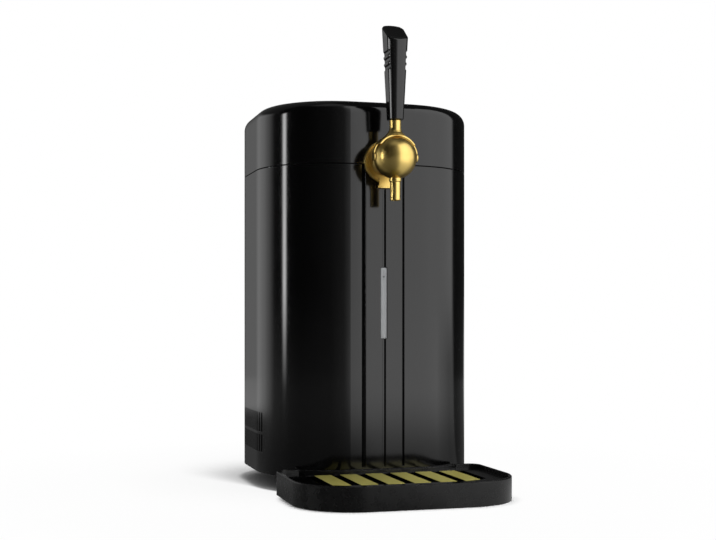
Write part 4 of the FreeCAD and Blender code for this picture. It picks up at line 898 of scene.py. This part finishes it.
def place_new(bm, start, matrix):
    """Move all points from number start on."""
    bm.verts.ensure_lookup_table()
    bmesh.ops.transform(bm, matrix=matrix, verts=bm.verts[start:])


def plain_object(name, bm):
    bmesh.ops.recalc_face_normals(bm, faces=bm.faces)
    mesh = bpy.data.meshes.new(name)
    bm.to_mesh(mesh)
    bm.free()
    return link(bpy.data.objects.new(name, mesh))


def screw_master():
    """Pan-head screw with a cross recess, its seat at z = 0 and its shank downwards."""
    bm = bmesh.new()
    shank = [(TIP_RADIUS, -SHANK_LENGTH), (SHANK_RADIUS, -SHANK_LENGTH + TIP_LENGTH), (SHANK_RADIUS, 0)]
    seat = [(HEAD_RADIUS - SEAT_INSET, 0), (HEAD_RADIUS, SEAT_RISE)]
    dome = [(HEAD_RADIUS * math.cos(a), HEAD_SIDE + (HEAD_HEIGHT - HEAD_SIDE) * math.sin(a))
            for a in (math.radians(d) for d in DOME_ANGLES)]
    lathe(bm, shank + seat + dome, HEAD_SEGMENTS)
    head = plain_object("screw_master", bm)
    bm = bmesh.new()
    for half_x, half_y in ((CROSS_REACH, CROSS_HALF), (CROSS_HALF, CROSS_REACH)):
        add_box(bm, half_x, half_y, CROSS_FLOOR, HEAD_HEIGHT + 1, CROSS_TAPER)
    cross = plain_object("screw_cross", bm)
    cutting = head.modifiers.new("cross", "BOOLEAN")
    cutting.operation = "DIFFERENCE"
    cutting.solver = "EXACT"
    cutting.use_self = True
    cutting.object = cross
    bpy.context.view_layer.update()
    finished = head.evaluated_get(bpy.context.evaluated_depsgraph_get())
    mesh = bpy.data.meshes.new_from_object(finished)
    for thing in (head, cross):
        bpy.data.objects.remove(thing)
    return mesh


def islands(mesh):
    """The separate solids of a node's mesh, each as a list of its points."""
    spot = [tuple(round(c, 6) for c in v.co) for v in mesh.vertices]
    parent = {key: key for key in spot}

    def root(key):
        while parent[key] != key:
            parent[key] = parent[parent[key]]
            key = parent[key]
        return key

    for edge in mesh.edges:
        first, second = (root(spot[i]) for i in edge.vertices)
        parent[first] = second
    groups = {}
    for key in parent:
        groups.setdefault(root(key), []).append(Vector(key))
    return list(groups.values())


def screw_places(node):
    """Seat and direction, out of the head, of every screw in a node."""
    places = []
    for points in islands(nodes[node].data):
        low = Vector([min(p[i] for p in points) for i in range(3)])
        high = Vector([max(p[i] for p in points) for i in range(3)])
        along = max(range(3), key=lambda i: high[i] - low[i])
        middle = (low + high) / 2
        wide = [p for p in points
                if ((p - middle).length ** 2 - (p - middle)[along] ** 2) ** 0.5 > ONLY_HEAD * MM]
        head = sum(p[along] for p in wide) / len(wide)
        out = Vector((0, 0, 0))
        out[along] = 1 if head > middle[along] else -1
        seat = middle.copy()
        end = high[along] if out[along] > 0 else low[along]
        seat[along] = end - out[along] * HEAD_HEIGHT * MM
        places.append((seat, out))
    return places


def make_screws(node, body, master):
    """Each screw stands turned a little differently, as driven screws do."""
    bm = bmesh.new()
    for index, (seat, out) in enumerate(screw_places(node)):
        start = len(bm.verts)
        bm.from_mesh(master)
        turned = Matrix.Rotation(math.radians(SCREW_TURN * index % 90), 4, "Z")
        stood = out.to_track_quat("Z", "Y").to_matrix().to_4x4()
        place_new(bm, start, Matrix.Translation(seat) @ stood @ turned)
    piece = new_piece(node + "_cross", bm, LOOKS["steel"], body)
    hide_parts(node)


screw = screw_master()
make_screws("body_screws", "body", screw)
make_screws("lid_screws", "lid", screw)


# ---------------------------------------------------------------- printed marks
INK = 0.05                     # how far printing stands out; the marks are in millimetres
HOOP_RADII = (1.15, 1.65)      # of the switch's ring, inside and outside
BAR_HALVES = (0.25, 1.65)      # half the width and length of its bar
NEARLY_LEVEL = 0.9             # least share of a face's normal along the way it is looked at
DIAL_TICKS = 10                # the knob turns three quarters round, from 0 to 3 bar
TICKS_PER_BAR = 3
DIAL_START = -90.0
DIAL_SWEEP = 270.0
DIAL_RADIUS = 12.2
TICK_FOOT = 0.6                # how far inside that radius the ticks start
WHOLE_TICK = (0.16, 0.55)      # half the width and length of the tick at a whole number
PART_TICK = (0.1, 0.35)
FIGURE_SIZE = 1.9
FIGURE_OUT = 1.75              # from the dial's radius to the middle of a figure
FLANGE_RISE = 1.0              # of the regulator's flange, over the deck


def mark_ink(name, light, dark):
    look = Look(name, IOR=1.5)
    look.colour(look.blend(look.noise(0.0008, 3.0), light, dark))
    look.rough(look.span(look.noise(0.001, 3.0), 0.4, 0.55, *BLOTCHES))
    return look.material


def add_text(bm, text, size, place):
    """Flat lettering, centred, as a thin solid laid on with the matrix place."""
    curve = bpy.data.curves.new("lettering", "FONT")
    curve.body = text
    curve.size = size * MM
    curve.align_x = "CENTER"
    curve.align_y = "CENTER"
    curve.extrude = INK * MM
    carrier = link(bpy.data.objects.new("lettering", curve))
    bpy.context.view_layer.update()
    mesh = bpy.data.meshes.new_from_object(carrier.evaluated_get(bpy.context.evaluated_depsgraph_get()))
    start = len(bm.verts)
    bm.from_mesh(mesh)
    place_new(bm, start, place)
    bpy.data.objects.remove(carrier)


def add_bar(bm, half_x, half_y, place):
    start = len(bm.verts)
    add_box(bm, half_x, half_y, -INK, INK)
    place_new(bm, start, place)


def add_hoop(bm, inner, outer, place, segments=32):
    start = len(bm.verts)
    angles = [2 * math.pi * i / segments for i in range(segments)]
    corners = ((inner, -INK), (outer, -INK), (outer, INK), (inner, INK))
    rings = [[bm.verts.new((r * math.cos(a) * MM, r * math.sin(a) * MM, z * MM)) for r, z in corners]
             for a in angles]
    for i, ring in enumerate(rings):
        following = rings[(i + 1) % segments]
        for k in range(len(corners)):
            n = (k + 1) % len(corners)
            bm.faces.new((ring[k], ring[n], following[n], following[k]))
    place_new(bm, start, place)


def facing(node, direction, least, keep):
    """Middle and normal of the faces of a node that look along direction and pass keep."""
    mesh = nodes[node].data
    chosen = [f for f in mesh.polygons if f.normal.dot(direction) > least and keep(f.center)]
    total = sum(f.area for f in chosen)
    middle = sum((f.center * f.area for f in chosen), Vector((0, 0, 0))) / total
    normal = sum((f.normal * f.area for f in chosen), Vector((0, 0, 0))).normalized()
    return middle, normal


def make_rocker_marks():
    """The ring and the bar that every mains switch carries, for off and on."""
    low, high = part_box("switch_rocker")
    centre = (low[2] + high[2]) / 2
    bm = bmesh.new()
    for upper in (True, False):
        middle, normal = facing("switch_rocker", Vector((0, 1, 0)), NEARLY_LEVEL,
                                lambda c: (c.z > centre) == upper)
        right = Vector((-1, 0, 0))
        up = normal.cross(right)
        turn = Matrix((right, up, normal)).transposed().to_4x4()
        place = Matrix.Translation(middle) @ turn
        if upper:
            add_hoop(bm, *HOOP_RADII, place)
        else:
            add_bar(bm, *BAR_HALVES, place)
    new_piece("rocker_marks", bm, mark_ink("switch_ink", shade(0.75), shade(0.68)), "rocker")


def make_dial():
    """Pressure scale on the regulator's flange, anticlockwise from the front."""
    low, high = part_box("regulator_knob")
    _, deck_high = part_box("deck")
    centre = Vector(((low[0] + high[0]) / 2, (low[1] + high[1]) / 2, deck_high[2] + FLANGE_RISE * MM))
    bm = bmesh.new()
    for i in range(DIAL_TICKS):
        whole = i % TICKS_PER_BAR == 0
        angle = math.radians(DIAL_START + DIAL_SWEEP * i / (DIAL_TICKS - 1))
        out = Vector((math.cos(angle), math.sin(angle), 0))
        turn = Matrix.Rotation(angle - math.pi / 2, 4, "Z")
        half_x, half_y = WHOLE_TICK if whole else PART_TICK
        place = Matrix.Translation(centre + out * (DIAL_RADIUS - TICK_FOOT + half_y) * MM) @ turn
        add_bar(bm, half_x, half_y, place)
        if whole:
            place = Matrix.Translation(centre + out * (DIAL_RADIUS + FIGURE_OUT) * MM) @ turn
            add_text(bm, str(i // TICKS_PER_BAR), FIGURE_SIZE, place)
    new_piece("pressure_scale", bm, mark_ink("dial_ink", shade(0.012), shade(0.02)), "body")


make_rocker_marks()
make_dial()
